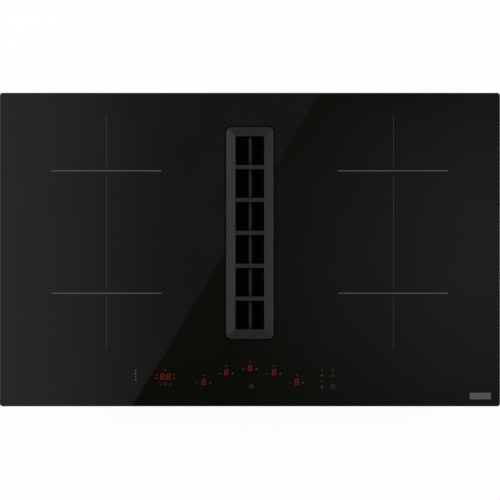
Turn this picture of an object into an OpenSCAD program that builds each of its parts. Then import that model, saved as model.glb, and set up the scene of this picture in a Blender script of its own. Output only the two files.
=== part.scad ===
// Downdraft induction cooktop: glass top with touch controls, cast vent grille, grease filter,
// sealed electronics casing, and the extractor that hangs below it.
// Z = 0 is the top of the worktop, X runs left to right and Y from front to back.
// The origin is the middle of the worktop cut-out.

/* [Glass top] */
// Width of the glass, left to right
glass_w = 830; // [800:1:860]
// Depth of the glass, front to back
glass_d = 520; // [508:1:540]
// Thickness of the glass
glass_t = 4; // [3:0.5:6]
// Radius of the four glass corners
glass_r = 3; // [1.5:0.5:12]
// Width of the ground bevel along the upper edges
bevel_w = 1.2; // [0.4:0.1:2]
// Depth of that bevel
bevel_d = 0.8; // [0.3:0.1:1.5]

/* [Worktop] */
// Overlap of the glass on the worktop, left and right
overlap_side = 40; // [34:1:44]
// Overlap of the glass on the worktop, front and back
overlap_end = 15; // [14:0.5:18]
// Space between the cut-out and the casing on each side
cutout_gap = 10; // [9:0.5:12]
// Thickness of the seal under the glass
seal_t = 2; // [1.5:0.5:4]
// Width of the seal
seal_w = 10; // [5:1:11]
// Distance from the edge of the glass to the seal
seal_inset = 4; // [2:0.5:5]

/* [Vent grille] */
// Width of the cast grille
grille_w = 80; // [72:1:90]
// Distance of the grille from the front edge of the glass
grille_front = 111.5; // [106:0.5:130]
// Distance of the grille from the rear edge of the glass
grille_back = 56.5; // [54:0.5:80]
// Radius of its outer corners
grille_r = 9; // [4:0.5:12]
// Width of the sloping border
grille_border = 16.3; // [13:0.1:20]
// Height of the border's outer edge above the glass
grille_edge_up = 1.5; // [0.5:0.1:4]
// Rise of the border from its outer to its inner edge
grille_rise = 4.5; // [2:0.1:8]
// Number of openings along the grille
grille_cells = 6; // [4:1:8]
// Width of each crossbar
crossbar_w = 7.3; // [5:0.1:10]
// Width of the lengthwise rib
rib_w = 7; // [5:0.1:9]
// Height of the rib
rib_h = 6; // [5:0.1:8]
// Height of the rib that stands above the grille's underside
rib_up = 1; // [0.6:0.1:2]
// Thickness of the silicone pads under the grille
pad_t = 1; // [0.6:0.1:2]
// Length of each pad
pad_l = 16; // [8:1:30]
// Distance of the outer pads from the grille's ends
pad_end = 30; // [22:1:40]
// Width of each pad
pad_w = 5; // [3:0.5:7]

/* [Vent collar] */
// Space between the grille and the rim
grille_gap = 0.5; // [0.4:0.1:1]
// Thickness of the rim
rim_t = 1.1; // [0.8:0.1:1.6]
// Space between the rim and the glass
glass_gap = 0.4; // [0.3:0.1:1]
// Height of the rim above the glass
rim_up = 0.2; // [0:0.1:1]
// Width of the ledge inside the rim
ledge_w = 10.5; // [9:0.5:12]
// Depth of the ledge below the underside of the glass
ledge_drop = 0.2; // [0.1:0.1:0.6]
// Width of the flange under the glass, outside the rim
collar_flange_w = 10; // [8:0.5:12]
// Thickness of the flange
collar_flange_t = 2; // [1.5:0.5:3]
// Thickness of the gasket between flange and glass
gasket_t = 1; // [0.5:0.1:1.5]
// Wall of the well
well_wall = 2; // [1.5:0.5:3]
// Length of the well below the plenum's top plate
well_end = 4; // [2:0.5:8]

/* [Grease filter] */
// Depth of the filter's seat below the underside of the glass
filter_drop = 14; // [12:0.5:18]
// Width of the lip that carries the filter
lip_w = 1.5; // [1.2:0.1:2.5]
// Thickness of the lip and of the filter's flange
lip_t = 2; // [1.5:0.5:3]
// Space between the filter and the well
filter_gap = 0.4; // [0.3:0.1:0.6]
// Height of the filter below its flange
filter_h = 36; // [25:1:40]
// Wall of the filter's frame
filter_wall = 1.5; // [1:0.1:2]
// Number of baffles in the filter's upper layer
baffles = 20; // [12:1:24]
// Thickness of the baffle sheet
baffle_t = 0.8; // [0.5:0.1:1.2]
// Height of the baffle's turned-down edges
baffle_h = 7; // [4:0.5:8]
// Length of the filter's handle
handle_l = 46; // [30:1:60]
// Thickness of the handle
handle_t = 2.5; // [2:0.1:3]
// Height of the handle above the filter's flange
handle_up = 5; // [4.6:0.1:5.5]

/* [Casing] */
// Depth of the casing below the glass
casing_h = 56; // [54:1:62]
// Thickness of its sheet steel
sheet_t = 1; // [0.8:0.1:1.5]
// Distance of the inner partitions from the middle
partition_x = 62; // [60:0.5:66]
// Width of the ledges that carry the coil plates
plate_ledge = 10; // [6:1:14]
// Distance of the glass brackets from the middle, on the long sides
bracket_x = 250; // [230:5:280]
// Distance of the glass brackets from the middle, on the short sides
bracket_y = 95; // [80:5:100]
// Length of each bracket along the wall
bracket_l = 20; // [14:1:30]

/* [Worktop clamps] */
// Distance of each clamp from the middle, front and back
clamp_y = 150; // [145:1:165]
// Length of the swivelling arm
clamp_arm = 42; // [30:1:44]
// Width of the arm
clamp_w = 6.5; // [6:0.1:7]
// Thickness of the arm
clamp_t = 3; // [2:0.5:4]
// Height of the arm's underside below the worktop's top
clamp_drop = 45; // [35:1:48]
// Radius of the clamp's screw
clamp_screw_r = 2; // [1.5:0.1:2.2]

/* [Induction coils] */
// Distance of each zone's centre from the side edge of the glass
zone_side = 176.8; // [172:0.2:200]
// Space between the rear coil carriers and the casing's rear wall
coil_back_gap = 12.2; // [8:0.2:24]
// Space between the front coil carriers and the controls' holder
coil_front_gap = 6.5; // [4:0.5:16]
// Space between the coil carriers of one side
zone_gap = 21.3; // [10:0.1:30]
// Inner radius of the coil
coil_hole_r = 20; // [18:1:26]
// Number of turns
coil_turns = 10; // [6:1:12]
// Space between the turns
strand_gap = 2; // [1:0.1:3]
// Thickness of the coil
coil_t = 3.5; // [2.5:0.1:4]
// Thickness of the coil carrier
carrier_t = 4.5; // [4:0.1:5]
// Margin of the carrier round the coil
carrier_edge = 3; // [2:0.5:4]
// Thickness of the coil plate
coil_plate_t = 1.5; // [1:0.1:2]
// Thickness of the mica disc
mica_t = 0.6; // [0.4:0.1:0.8]
// Space between the mica disc and the glass
mica_gap = 0.4; // [0.3:0.1:0.8]
// Radius of the temperature sensor
sensor_r = 6; // [4:0.5:8]
// Ferrite bars under each coil
ferrites = 8; // [6:1:10]
// Distance of the ferrite bars from the coil's inner edge
ferrite_in = 8; // [6:1:20]
// Distance of the ferrite bars from the coil's outer edge
ferrite_out = 6; // [2:1:20]
// Width of a ferrite bar
ferrite_w = 10; // [8:0.5:12]
// Thickness of a ferrite bar
ferrite_t = 4; // [3:0.1:4]

/* [Power electronics] */
// Space between the power board and the terminal cover
power_back_gap = 17.5; // [8:0.5:30]
// Space between the power board and the casing's side
power_side_gap = 32; // [14:1:40]
// Distance of the boards' inner edges from the middle
power_x = 82; // [80:1:90]
// Space between the cooling fan and the power board
power_front_gap = 12; // [6:1:20]
// Thickness of the circuit boards
board_t = 1.6; // [1:0.1:2]
// Height of the standoffs
standoff_h = 8; // [6:0.5:10]
// Radius of the standoffs
standoff_r = 4; // [3:0.5:5]
// Distance of the heatsink from the front edge of its board
heatsink_front = 5; // [2:1:12]
// Distance of the heatsink from the rear edge of its board
heatsink_back = 35; // [10:1:60]
// Thickness of the heatsink's base
heatsink_base = 4; // [3:0.5:6]
// Width of the heatsinks
heatsink_w = 50; // [40:1:56]
// Height of the heatsinks
heatsink_h = 25; // [20:0.5:27]
// Fins on each heatsink
heatsink_fins = 9; // [6:1:10]
// Thickness of a fin
fin_t = 1.5; // [1:0.1:2]
// Distance of each fan's centre from the casing's side
fan_side = 89; // [80:1:96]
// Distance of each fan's centre behind the controls
fan_back = 85; // [80:1:90]
// Width of the fan housing
fan_w = 88; // [80:1:90]
// Height of the fan housing
fan_h = 24; // [20:0.5:26]
// Wall of the fan housing
fan_wall = 1.5; // [1:0.1:2]
// Space round the fan rotor
fan_gap = 2.5; // [1.5:0.1:4]
// Blades on a fan rotor
fan_blades = 11; // [7:1:15]
// Radius of the fan's hub
fan_hub_r = 14; // [10:0.5:16]
// Radius of the fan's spindle
fan_spindle_r = 4; // [3:0.1:5]

/* [Controls] */
// Distance of the zone displays' arc from the front edge of the glass
display_front = 59; // [56:0.5:62]
// Distance by which the inner displays lie further forward than the middle one
display_step1 = 7.2; // [5:0.1:9]
// Distance by which the outer displays lie further forward than the middle one
display_step2 = 23.2; // [20:0.1:25]
// Spacing of the zone displays
display_pitch = 38.6; // [36:0.1:40]
// Distance of each zone's keys from its display
key_reach = 12.5; // [11.5:0.1:13.5]
// Width of a display block
display_w = 12; // [10:0.5:14]
// Depth of a display block
display_d = 16; // [12:0.5:18]
// Width of the control board
control_w = 352; // [350:1:360]
// Depth of the control board
control_d = 58; // [56:1:60]
// Distance of the board's middle from the front edge of the glass
control_front = 59; // [58:0.5:60]
// Distance of the board's middle left of the middle of the glass
control_left = 25; // [20:1:30]
// Distance of the timer's display left of the middle of the glass
timer_left = 140; // [136:1:144]
// Width of the timer's display block
timer_w = 22; // [18:1:24]
// Depth of the board below the underside of the glass
control_drop = 6.5; // [6:0.1:8]
// Wall of the control holder
holder_wall = 1.5; // [1:0.1:2]
// Depth of the holder below the board
holder_h = 10; // [8:1:16]
// Radius of a touch pad
touch_r = 4.5; // [3:0.1:5]

/* [Mains connection] */
// Distance of the terminal block's middle from the casing's side
terminal_side = 45; // [40:1:60]
// Distance of the terminal block from the rear wall
terminal_back = 12; // [10:0.5:14]
// Width of the terminal block
terminal_w = 56; // [40:1:60]
// Depth of the terminal block
terminal_d = 22; // [16:1:24]
// Height of the terminal block
terminal_h = 20; // [14:1:22]
// Wall of the terminal cover
cover_t = 1.5; // [1:0.1:2]
// Radius of the cable's passage
cable_r = 5.5; // [4:0.1:6.5]
// Outer radius of the grommet's neck
grommet_r = 8.5; // [8:0.1:9]
// Width of the grommet's flanges beyond the neck
grommet_flange = 2.5; // [1.5:0.1:3]
// Height of the grommet above the casing's floor
grommet_up = 14; // [13:0.5:16]

/* [Plenum and overflow tank] */
// Width that the plenum tub adds to the well on each side
plenum_side = 46; // [44:1:50]
// Length that the tub adds to the well at each end
plenum_end = 19.5; // [18:0.5:26]
// Height of the extractor below the casing
plenum_h = 151; // [149:1:165]
// Wall of the tub
plenum_wall = 3; // [2:0.5:4]
// Radius of the tub's upright corners
plenum_r = 12; // [6:1:16]
// Thickness of the top plate
top_plate_t = 2; // [1.5:0.5:3]
// Thickness of the plenum's gasket
plenum_gasket_t = 1.5; // [1:0.5:2]
// Number of upright ribs along the tub's side
tub_rib_count = 9; // [5:1:13]
// Width of those ribs
tub_rib_w = 2.5; // [1.5:0.5:4]
// Distance by which the ribs stand out
rib_proud = 2; // [1:0.5:3]
// Width of the tub's rim on its long sides
rim_side = 5; // [4:0.5:5.5]
// Width of the tub's rim at front and back
rim_end = 10; // [9:0.5:14]
// Space beside the overflow tank inside the tub
tank_side = 7; // [6:0.5:14]
// Space behind the overflow tank inside the tub
tank_back = 12; // [8:1:60]
// Height of the overflow tank
tank_h = 27; // [20:0.5:28]
// Wall of the overflow tank
tank_wall = 2; // [1.5:0.1:2.5]
// Space round the tank in its slot
tank_gap = 1; // [0.5:0.1:2]
// Thickness of the tank's front plate
tank_front_t = 4; // [3:0.5:6]
// Width of the tank's handle
tank_grip_w = 70; // [50:1:100]
// Length of the tank's handle
tank_grip_l = 14; // [10:1:20]
// Thickness of the tank's handle
tank_grip_t = 5; // [4:0.5:8]

/* [Blower] */
// Distance of the blower's axis before the middle of the plenum
blower_front = 57.5; // [50:0.5:66]
// Width of the scroll inside
scroll_w = 66; // [64:1:72]
// Wall of the scroll
scroll_wall = 2; // [1.5:0.1:3]
// Outer radius of the scroll at its start
scroll_r0 = 62; // [61:0.5:63]
// Outer radius of the scroll at its end
scroll_r1 = 76; // [74:0.5:77]
// Length of the scroll's outlet beyond the axis
scroll_out = 80; // [76:1:84]
// Thickness of the inlet ring
inlet_t = 6; // [5.5:0.5:8]
// Radius of the inlet
inlet_r = 46; // [40:0.5:48]
// Width of the inlet ring
inlet_ring_w = 8; // [5:0.5:9]
// Radius of the impeller
impeller_r = 56; // [52:0.5:57]
// Depth of its blades
blade_d = 8; // [5:0.5:9]
// Thickness of a blade
blade_t = 1.2; // [0.8:0.1:1.6]
// Number of blades
blades = 30; // [20:1:36]
// Space between the impeller and each side of the scroll
impeller_gap = 4; // [3:0.5:6]
// Radius of the shaft
shaft_r = 4; // [3:0.1:5]
// Radius of the hub's opening in the cover
hub_r = 12; // [10:0.5:14]
// Radius of the ears that take the cover's screws
ear_r = 5; // [4:0.5:5.5]
// Depth of the screws in those ears
ear_screw_l = 12; // [8:1:13]
// Length of the shaft inside the motor
shaft_l = 18; // [12:1:24]
// Radius of the motor
motor_r = 36; // [30:0.5:38]
// Length of the motor
motor_l = 38; // [30:1:40]
// Number of cooling grooves round the motor
motor_grooves = 4; // [2:1:4]
// Width of a groove
groove_w = 3.5; // [2:0.5:3.5]
// Depth of a groove
groove_d = 2; // [1:0.5:3]
// Radius of the motor's flange
motor_flange_r = 44; // [43:0.5:48]
// Thickness of the motor's flange
motor_flange_t = 3; // [2:0.5:4]

/* [Outlet duct] */
// Width of the duct spigot
duct_w = 222; // [216:1:230]
// Height of the duct spigot
duct_h = 89; // [80:1:92]
// Length of the spigot
duct_l = 45; // [30:1:48]
// Length by which the spigot stands out behind the casing
duct_out = 5; // [3:1:8]
// Length of the throat that holds the flap
throat_l = 70; // [66:1:74]
// Thickness of the flap
flap_t = 2; // [1.5:0.1:3]
// Space round the flap
flap_gap = 1.5; // [1:0.1:2]
// Distance of the flap's pin from the joint with the scroll
flap_in = 10; // [8:0.5:12]
// Radius of the flap's pin
flap_pin_r = 2; // [1.5:0.1:2.5]
// Thickness of the sleeve round the duct joint
sleeve_t = 1.5; // [1:0.1:2]
// Length of the sleeve
sleeve_l = 12; // [8:1:16]

/* [Drive box] */
// Width of the box
drive_w = 120; // [80:1:130]
// Depth of the box
drive_d = 130; // [90:1:140]
// Height of the box
drive_h = 36; // [25:1:40]
// Distance of the box's left side from the casing's right side
drive_side = 150; // [145:1:153]
// Distance of the box's middle behind the middle of the glass
drive_back = 70; // [50:1:80]
// Width of its fixing flanges
drive_flange = 10; // [8:0.5:12]

/* [Fasteners] */
// Radius of the small screws
screw_r = 1.5; // [1.2:0.1:1.6]
// Radius of their heads
screw_head_r = 3; // [2.5:0.1:3.5]
// Height of their heads
screw_head_h = 1.8; // [1.2:0.1:2.2]
// Space round a shank in its hole
screw_gap = 0.25; // [0.2:0.05:0.4]
// Space round turning pins
pin_gap = 0.3; // [0.2:0.05:0.4]
// Space under pieces that rest loosely
rest_gap = 0.25; // [0.2:0.05:0.4]

/* [Hidden] */
$fn = 48;
EPS = 0.01;

// Heights that follow from the sizes above
glass_under = seal_t;
glass_top_z = seal_t + glass_t;
casing_bottom = glass_under - casing_h;
floor_top = casing_bottom + sheet_t;
cutout_w = glass_w - 2 * overlap_side;
cutout_d = glass_d - 2 * overlap_end;
casing_w = cutout_w - 2 * cutout_gap;
casing_d = cutout_d - 2 * cutout_gap;
inner_w = casing_w - 2 * sheet_t;
inner_d = casing_d - 2 * sheet_t;

// Collar and grille
grille_l = glass_d - grille_front - grille_back;
grille_y = (grille_front - grille_back) / 2;
rim_in_w = grille_w + 2 * grille_gap;
rim_in_l = grille_l + 2 * grille_gap;
rim_out_w = rim_in_w + 2 * rim_t;
rim_out_l = rim_in_l + 2 * rim_t;
vent_w = rim_out_w + 2 * glass_gap;
vent_l = rim_out_l + 2 * glass_gap;
vent_r = grille_r + grille_gap + rim_t + glass_gap;
well_w = rim_in_w - 2 * ledge_w;
well_l = rim_in_l - 2 * ledge_w;
well_r = 4;
flange_w = rim_out_w + 2 * collar_flange_w;
flange_l = rim_out_l + 2 * collar_flange_w;
flange_top = glass_under - gasket_t;
flange_bottom = flange_top - collar_flange_t;
ledge_z = glass_under - ledge_drop;
grille_under = ledge_z + rest_gap + pad_t;
grille_edge_z = glass_top_z + grille_edge_up;
grille_top_z = grille_edge_z + grille_rise;
open_w = grille_w - 2 * grille_border;
open_l = grille_l - 2 * grille_border;
cell_l = (open_l - (grille_cells - 1) * crossbar_w) / grille_cells;
cell_pitch = cell_l + crossbar_w;
top_plate_bottom = casing_bottom - top_plate_t;
well_bottom = top_plate_bottom - well_end;

// Filter
seat_z = glass_under - filter_drop;
filter_flange_w = well_w - 2 * filter_gap;
filter_flange_l = well_l - 2 * filter_gap;
filter_z = seat_z + rest_gap;
filter_body_w = well_w - 2 * lip_w - 2 * filter_gap;
filter_body_l = well_l - 2 * lip_w - 2 * filter_gap;
baffle_pitch = (filter_body_l - 2 * filter_wall) / baffles;

// Coil stack, from the glass down
mica_top = glass_under - mica_gap;
coil_top = mica_top - mica_t;
carrier_top = coil_top - coil_t;
coil_plate_top = carrier_top - carrier_t;
coil_plate_bottom = coil_plate_top - coil_plate_t;
zone_x = glass_w / 2 - zone_side;
holder_d = control_d + 1 + 2 * holder_wall;
holder_back_y = control_front - glass_d / 2 + holder_d / 2;
coil_y0 = holder_back_y + coil_front_gap;
coil_y1 = inner_d / 2 - coil_back_gap;
carrier_r = (coil_y1 - coil_y0 - zone_gap) / 4;
zone_ys = [coil_y1 - carrier_r, coil_y0 + carrier_r];
coil_r = carrier_r - carrier_edge;
strand_w = (coil_r - coil_hole_r - coil_turns * strand_gap) / (coil_turns + 1);
ferrite_l = coil_r - ferrite_out - coil_hole_r - ferrite_in;
coil_plate_edge = 2;

// Electronics
board_bottom = floor_top + standoff_h;
board_top = board_bottom + board_t;
fan_x = inner_w / 2 - fan_side;
fan_y = control_front - glass_d / 2 + fan_back;
power_y0 = fan_y + fan_w / 2 + power_front_gap;
terminal_x = casing_w / 2 - terminal_side;
terminal_y1 = inner_d / 2 - terminal_back;
cover_y0 = terminal_y1 - terminal_d - 1 - cover_t;
power_l = cover_y0 - power_back_gap - power_y0;
power_w = inner_w / 2 - power_side_gap - power_x;
heatsink_l = power_l - heatsink_front - heatsink_back;
fan_cavity_r = fan_w / 2 - fan_wall - 3;
fan_top = floor_top + fan_h;
rotor_r = fan_cavity_r - fan_gap;
heatsink_y0 = power_y0 + heatsink_front;
heatsink_x = fan_x - heatsink_w / 2;

// Controls
control_top = glass_under - control_drop;
control_under = control_top - board_t;
control_y = control_front - glass_d / 2;
control_x = -control_left;
holder_w = control_w + 1 + 2 * holder_wall;
holder_bottom = control_under - holder_h;
display_y = display_front - glass_d / 2;
timer_x = -timer_left;

// Extractor
plenum_w = well_w + 2 * well_wall + 2 * plenum_side;
plenum_l = well_l + 2 * well_wall + 2 * plenum_end;
plenum_y = grille_y;
plenum_back = plenum_y + plenum_l / 2;
plenum_front = plenum_l / 2 - plenum_y;
tank_w = plenum_w - 2 * plenum_wall - 2 * tank_side;
tank_l = plenum_l - plenum_wall - tank_back;
gasket_bottom = top_plate_bottom - plenum_gasket_t;
plenum_bottom = casing_bottom - plenum_h;
plenum_floor = plenum_bottom + plenum_wall;
tub_rim_t = plenum_wall;
tank_z = plenum_floor + rest_gap;
tank_y0 = -plenum_front;
slot_top = tank_z + tank_h + tank_gap;
scroll_x0 = plenum_w / 2 + inlet_t;
scroll_x1 = scroll_x0 + scroll_wall + scroll_w;
cover_x1 = scroll_x1 + scroll_wall;
blower_y = plenum_y - blower_front;
scroll_bottom = plenum_bottom + 1;
blower_z = scroll_bottom + scroll_r1;
tongue_a = -12;
outlet_y = blower_y + scroll_out;
outlet_top = blower_z + scroll_r0 * sin(tongue_a);
tongue_in_a = asin((outlet_top - scroll_wall - blower_z) / (scroll_r0 - scroll_wall));
impeller_x0 = scroll_x0 + scroll_wall + impeller_gap;
impeller_x1 = scroll_x1 - impeller_gap;
shaft_end = cover_x1 + shaft_l;
ear_angles = [25, 62, 128, 165, 222];
motor_screws_r = (motor_flange_r + motor_r) / 2;
throat_end = outlet_y + throat_l;
duct_back = casing_d / 2 + duct_out;
spigot_y0 = duct_back - duct_l;
spigot_top = scroll_bottom + duct_h;
hinge_y = outlet_y + flap_in;
hinge_r = flap_pin_r + 1.5;
hinge_z = outlet_top - scroll_wall - hinge_r - 0.5;

// Clamps
drive_x = casing_w / 2 - drive_side;
clamp_x = casing_w / 2 + cutout_gap / 2;
clamp_lug_top = glass_under - 8;
clamp_lug_t = 2;
clamp_hub_r = clamp_w / 2 + 0.5;

BLACK = [0.06, 0.06, 0.065];
IRON = [0.17, 0.17, 0.17];
STEEL = [0.62, 0.63, 0.65];
GREY = [0.35, 0.36, 0.38];
COPPER = [0.72, 0.42, 0.22];
BOARD = [0.08, 0.3, 0.16];

// Outline of a rounded rectangle about the middle
function round_rect(w, d, r, n = 8) = [
    for (q = [0:3], i = [0:n])
        let (a = q * 90 + i * 90 / n)
            [(q == 0 || q == 3 ? 1 : -1) * (w / 2 - r) + r * cos(a),
             (q < 2 ? 1 : -1) * (d / 2 - r) + r * sin(a)]
];

// Upright block with rounded corners, between two heights
module slab(w, d, r, z0, z1, y = 0) {
    translate([0, y, z0])
        linear_extrude(z1 - z0)
            polygon(round_rect(w, d, r));
}

// Upright frame: a slab with a smaller one cut out of it
module frame(w, d, r, in_w, in_d, in_r, z0, z1, y = 0) {
    difference() {
        slab(w, d, r, z0, z1, y);
        slab(in_w, in_d, in_r, z0 - 1, z1 + 1, y);
    }
}

// Box between two corners
module block(a, b) {
    translate(a)
        cube(b - a);
}

// Flat shape in Y and Z, drawn out along X
module along_x(x0, x1) {
    translate([x0, 0, 0])
        rotate([90, 0, 90])
            linear_extrude(x1 - x0)
                children();
}

// Flat shape in X and Z, drawn out along Y
module along_y(y0, y1) {
    translate([0, y1, 0])
        rotate([90, 0, 0])
            linear_extrude(y1 - y0)
                children();
}

module mirrored() {
    children();
    mirror([1, 0, 0])
        children();
}

// Screw with its head's seat at the origin and its shank going down
module screw(l) {
    cylinder(h = screw_head_h, r = screw_head_r);
    translate([0, 0, -l])
        cylinder(h = l + EPS, r = screw_r);
}

module screw_hole(l) {
    translate([0, 0, -l])
        cylinder(h = l + 1, r = screw_r + screw_gap);
}

// Hob top

module glass_top() {
    chamfer = [[0, 0], [0, glass_t - bevel_d], [bevel_w, glass_t]];
    color(BLACK)
        difference() {
            intersection() {
                slab(glass_w, glass_d, glass_r, glass_under, glass_top_z);
                along_y(-glass_d, glass_d)
                    translate([0, glass_under])
                        polygon(concat(
                            [for (p = chamfer) [p.x - glass_w / 2, p.y]],
                            [for (i = [2:-1:0]) [glass_w / 2 - chamfer[i].x, chamfer[i].y]]));
                along_x(-glass_w, glass_w)
                    translate([0, glass_under])
                        polygon(concat(
                            [for (p = chamfer) [p.x - glass_d / 2, p.y]],
                            [for (i = [2:-1:0]) [glass_d / 2 - chamfer[i].x, chamfer[i].y]]));
            }
            slab(vent_w, vent_l, vent_r, glass_under - 1, glass_top_z + 1, grille_y);
        }
}

module perimeter_seal() {
    out_w = glass_w - 2 * seal_inset;
    out_d = glass_d - 2 * seal_inset;
    color([0.1, 0.1, 0.1])
        frame(out_w, out_d, 6, out_w - 2 * seal_w, out_d - 2 * seal_w, 3, 0, glass_under);
}

module collar_gasket() {
    color([0.15, 0.15, 0.15])
        frame(flange_w - 2, flange_l - 2, vent_r + 4, vent_w + 2, vent_l + 2, vent_r + 1,
              flange_top, glass_under, grille_y);
}

module vent_collar() {
    rim_r = grille_r + grille_gap + rim_t;
    color(BLACK)
        difference() {
            union() {
                slab(flange_w, flange_l, vent_r + 5, flange_bottom, flange_top, grille_y);
                slab(rim_out_w, rim_out_l, rim_r, flange_top - EPS, glass_top_z + rim_up, grille_y);
                slab(well_w + 2 * well_wall, well_l + 2 * well_wall, well_r + well_wall,
                     well_bottom, flange_top, grille_y);
            }
            slab(rim_in_w, rim_in_l, grille_r + grille_gap, ledge_z, glass_top_z + 5, grille_y);
            slab(well_w, well_l, well_r, seat_z, glass_top_z, grille_y);
            slab(well_w - 2 * lip_w, well_l - 2 * lip_w, well_r - 1, seat_z - lip_t - 1, seat_z + 1,
                 grille_y);
            slab(well_w, well_l, well_r, well_bottom - 1, seat_z - lip_t, grille_y);
        }
}

// Foam ring that seals the well where it passes the casing's floor
module well_seal() {
    in_w = well_w + 2 * well_wall + 2 * rest_gap;
    in_l = well_l + 2 * well_wall + 2 * rest_gap;
    color([0.2, 0.2, 0.2])
        frame(in_w + 12, in_l + 12, well_r + 8, in_w, in_l, well_r + well_wall, floor_top,
              floor_top + 4, grille_y);
}

// Grille and filter

// Capsule-shaped section of the rib, rounded above and below
function rib_section(w, h, n = 8) = concat(
    [for (i = [0:n]) let (a = i * 180 / n) [w / 2 * cos(a), h / 2 - w / 4 + w / 4 * sin(a)]],
    [for (i = [0:n]) let (a = 180 + i * 180 / n) [w / 2 * cos(a), w / 4 - h / 2 + w / 4 * sin(a)]]
);

module vent_grille() {
    rib_z = grille_under + rib_up - rib_h / 2;
    color(IRON) {
        difference() {
            hull() {
                slab(grille_w, grille_l, grille_r, grille_under, grille_edge_z, grille_y);
                translate([0, grille_y, grille_top_z - 0.5])
                    cube([open_w, open_l, 1], center = true);
            }
            for (i = [0:grille_cells - 1])
                translate([0, grille_y - open_l / 2 + i * cell_pitch + cell_l / 2, 0])
                    cube([open_w, cell_l, 60], center = true);
        }
        along_y(grille_y - open_l / 2 - 2, grille_y + open_l / 2 + 2)
            translate([0, rib_z])
                polygon(rib_section(rib_w, rib_h));
    }
}

module grille_pads() {
    pad_x = (rim_in_w / 2 + well_w / 2) / 2 - 0.5;
    color([0.25, 0.25, 0.25])
        mirrored()
            for (y = [-1, -0.34, 0.34, 1])
                translate([pad_x - pad_w / 2, grille_y + y * (grille_l / 2 - pad_end) - pad_l / 2,
                           grille_under - pad_t])
                    cube([pad_w, pad_l, pad_t]);
}

module filter_frame() {
    color([0.2, 0.2, 0.21])
        difference() {
            union() {
                slab(filter_flange_w, filter_flange_l, well_r - 0.5, filter_z, filter_z + lip_t,
                     grille_y);
                slab(filter_body_w, filter_body_l, well_r - 1.5, filter_z - filter_h,
                     filter_z + EPS, grille_y);
            }
            slab(filter_body_w - 2 * filter_wall, filter_body_l - 2 * filter_wall, 1.5,
                 filter_z - filter_h - 1, filter_z + lip_t + 1, grille_y);
        }
}

// Two staggered layers of channel-shaped baffles, the upper open downwards
module filter_baffles() {
    span = filter_body_w - 2 * filter_wall;
    strip = baffle_pitch * 0.64;
    y0 = grille_y - baffle_pitch * baffles / 2;
    color([0.5, 0.5, 0.52])
        for (layer = [0, 1], i = [0:baffles - 1 - layer])
            translate([-span / 2, y0 + (i + 0.5 + layer / 2) * baffle_pitch - strip / 2,
                       filter_z - 2 - layer * (baffle_h + 6)])
                mirror([0, 0, 1 - layer])
                    difference() {
                        cube([span, strip, baffle_h]);
                        translate([-1, baffle_t, baffle_t])
                            cube([span + 2, strip - 2 * baffle_t, baffle_h]);
                    }
}

// Fixed pull across the middle of the filter
module filter_handle() {
    z0 = filter_z + lip_t;
    side = filter_body_w / 2 - filter_wall / 2;
    color([0.3, 0.3, 0.3])
        difference() {
            block([-side - 1.2, grille_y - handle_l / 2, z0],
                  [side + 1.2, grille_y + handle_l / 2, z0 + handle_up]);
            block([-side + 1.2, grille_y - handle_l, z0 - 1],
                  [side - 1.2, grille_y + handle_l, z0 + handle_up - handle_t]);
            mirrored()
                block([handle_t / 2 + 2, grille_y - handle_l / 2 + handle_t, z0 - 1],
                      [side - 1.2, grille_y + handle_l / 2 - handle_t, z0 + handle_up + 1]);
        }
}

// Casing

module fan_slots(x) {
    for (i = [-3:3])
        translate([x - 27 + abs(i) * 3, fan_y + i * 9 - 2, casing_bottom - 1])
            cube([54 - abs(i) * 6, 4, sheet_t + 2]);
}

module casing_tray() {
    ledge_y0 = zone_ys[1] - carrier_r;
    ledge_y1 = zone_ys[0] + carrier_r;
    plenum_screw_y = [plenum_back + rim_end / 2, -plenum_front - rim_end / 2];
    color(STEEL)
        difference() {
            union() {
                difference() {
                    slab(casing_w, casing_d, 4, casing_bottom, glass_under);
                    slab(inner_w, inner_d, 3, floor_top, glass_under + 1);
                }
                mirrored()
                    block([inner_w / 2 - plate_ledge, ledge_y0, coil_plate_bottom - sheet_t],
                          [inner_w / 2 + EPS, ledge_y1, coil_plate_bottom]);
                for (y = [-clamp_y, clamp_y])
                    mirrored()
                        block([casing_w / 2 - EPS, y - 5, clamp_lug_top - clamp_lug_t],
                              [clamp_x + clamp_screw_r + 2, y + 5, clamp_lug_top]);
            }
            slab(well_w + 2 * well_wall + 2, well_l + 2 * well_wall + 2, well_r + well_wall + 1,
                 casing_bottom - 1, floor_top + 1, grille_y);
            fan_slots(fan_x);
            fan_slots(-fan_x);
            for (i = [-12:12])
                translate([control_x + i * 12 - 3, control_y + 6, casing_bottom - 1])
                    cube([6, 22, sheet_t + 2]);
            for (y = [-clamp_y, clamp_y])
                mirrored()
                    translate([clamp_x, y, clamp_lug_top - clamp_lug_t - 1])
                        cylinder(h = clamp_lug_t + 2, r = clamp_screw_r + pin_gap);
            translate([-terminal_x, casing_d / 2 + 1, floor_top + grommet_up])
                rotate([90, 0, 0])
                    cylinder(h = sheet_t + 2, r = grommet_r + screw_gap);
            bracket_places()
                screw_hole(20);
            for (x = [-1, 0, 1], y = plenum_screw_y)
                translate([x * plenum_w * 0.36, y, floor_top])
                    screw_hole(10);
            drive_places()
                screw_hole(10);
        }
}

// Runs its children at each glass bracket, with up as the wall's outward direction
module bracket_places() {
    z = glass_under - 4;
    for (s = [-1, 1]) {
        for (y = [-bracket_y, bracket_y])
            translate([s * casing_w / 2, y, z])
                rotate([0, s * 90, 0])
                    children();
        for (x = [-bracket_x, bracket_x])
            translate([x, s * casing_d / 2, z])
                rotate([-s * 90, 0, 0])
                    children();
    }
}

// Runs its children at each screw of the drive box
module drive_places() {
    for (x = [drive_x - drive_flange / 2, drive_x + drive_w + drive_flange / 2], s = [-1, 1])
        translate([x, drive_back + s * drive_d * 0.35, floor_top])
            children();
}

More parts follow.
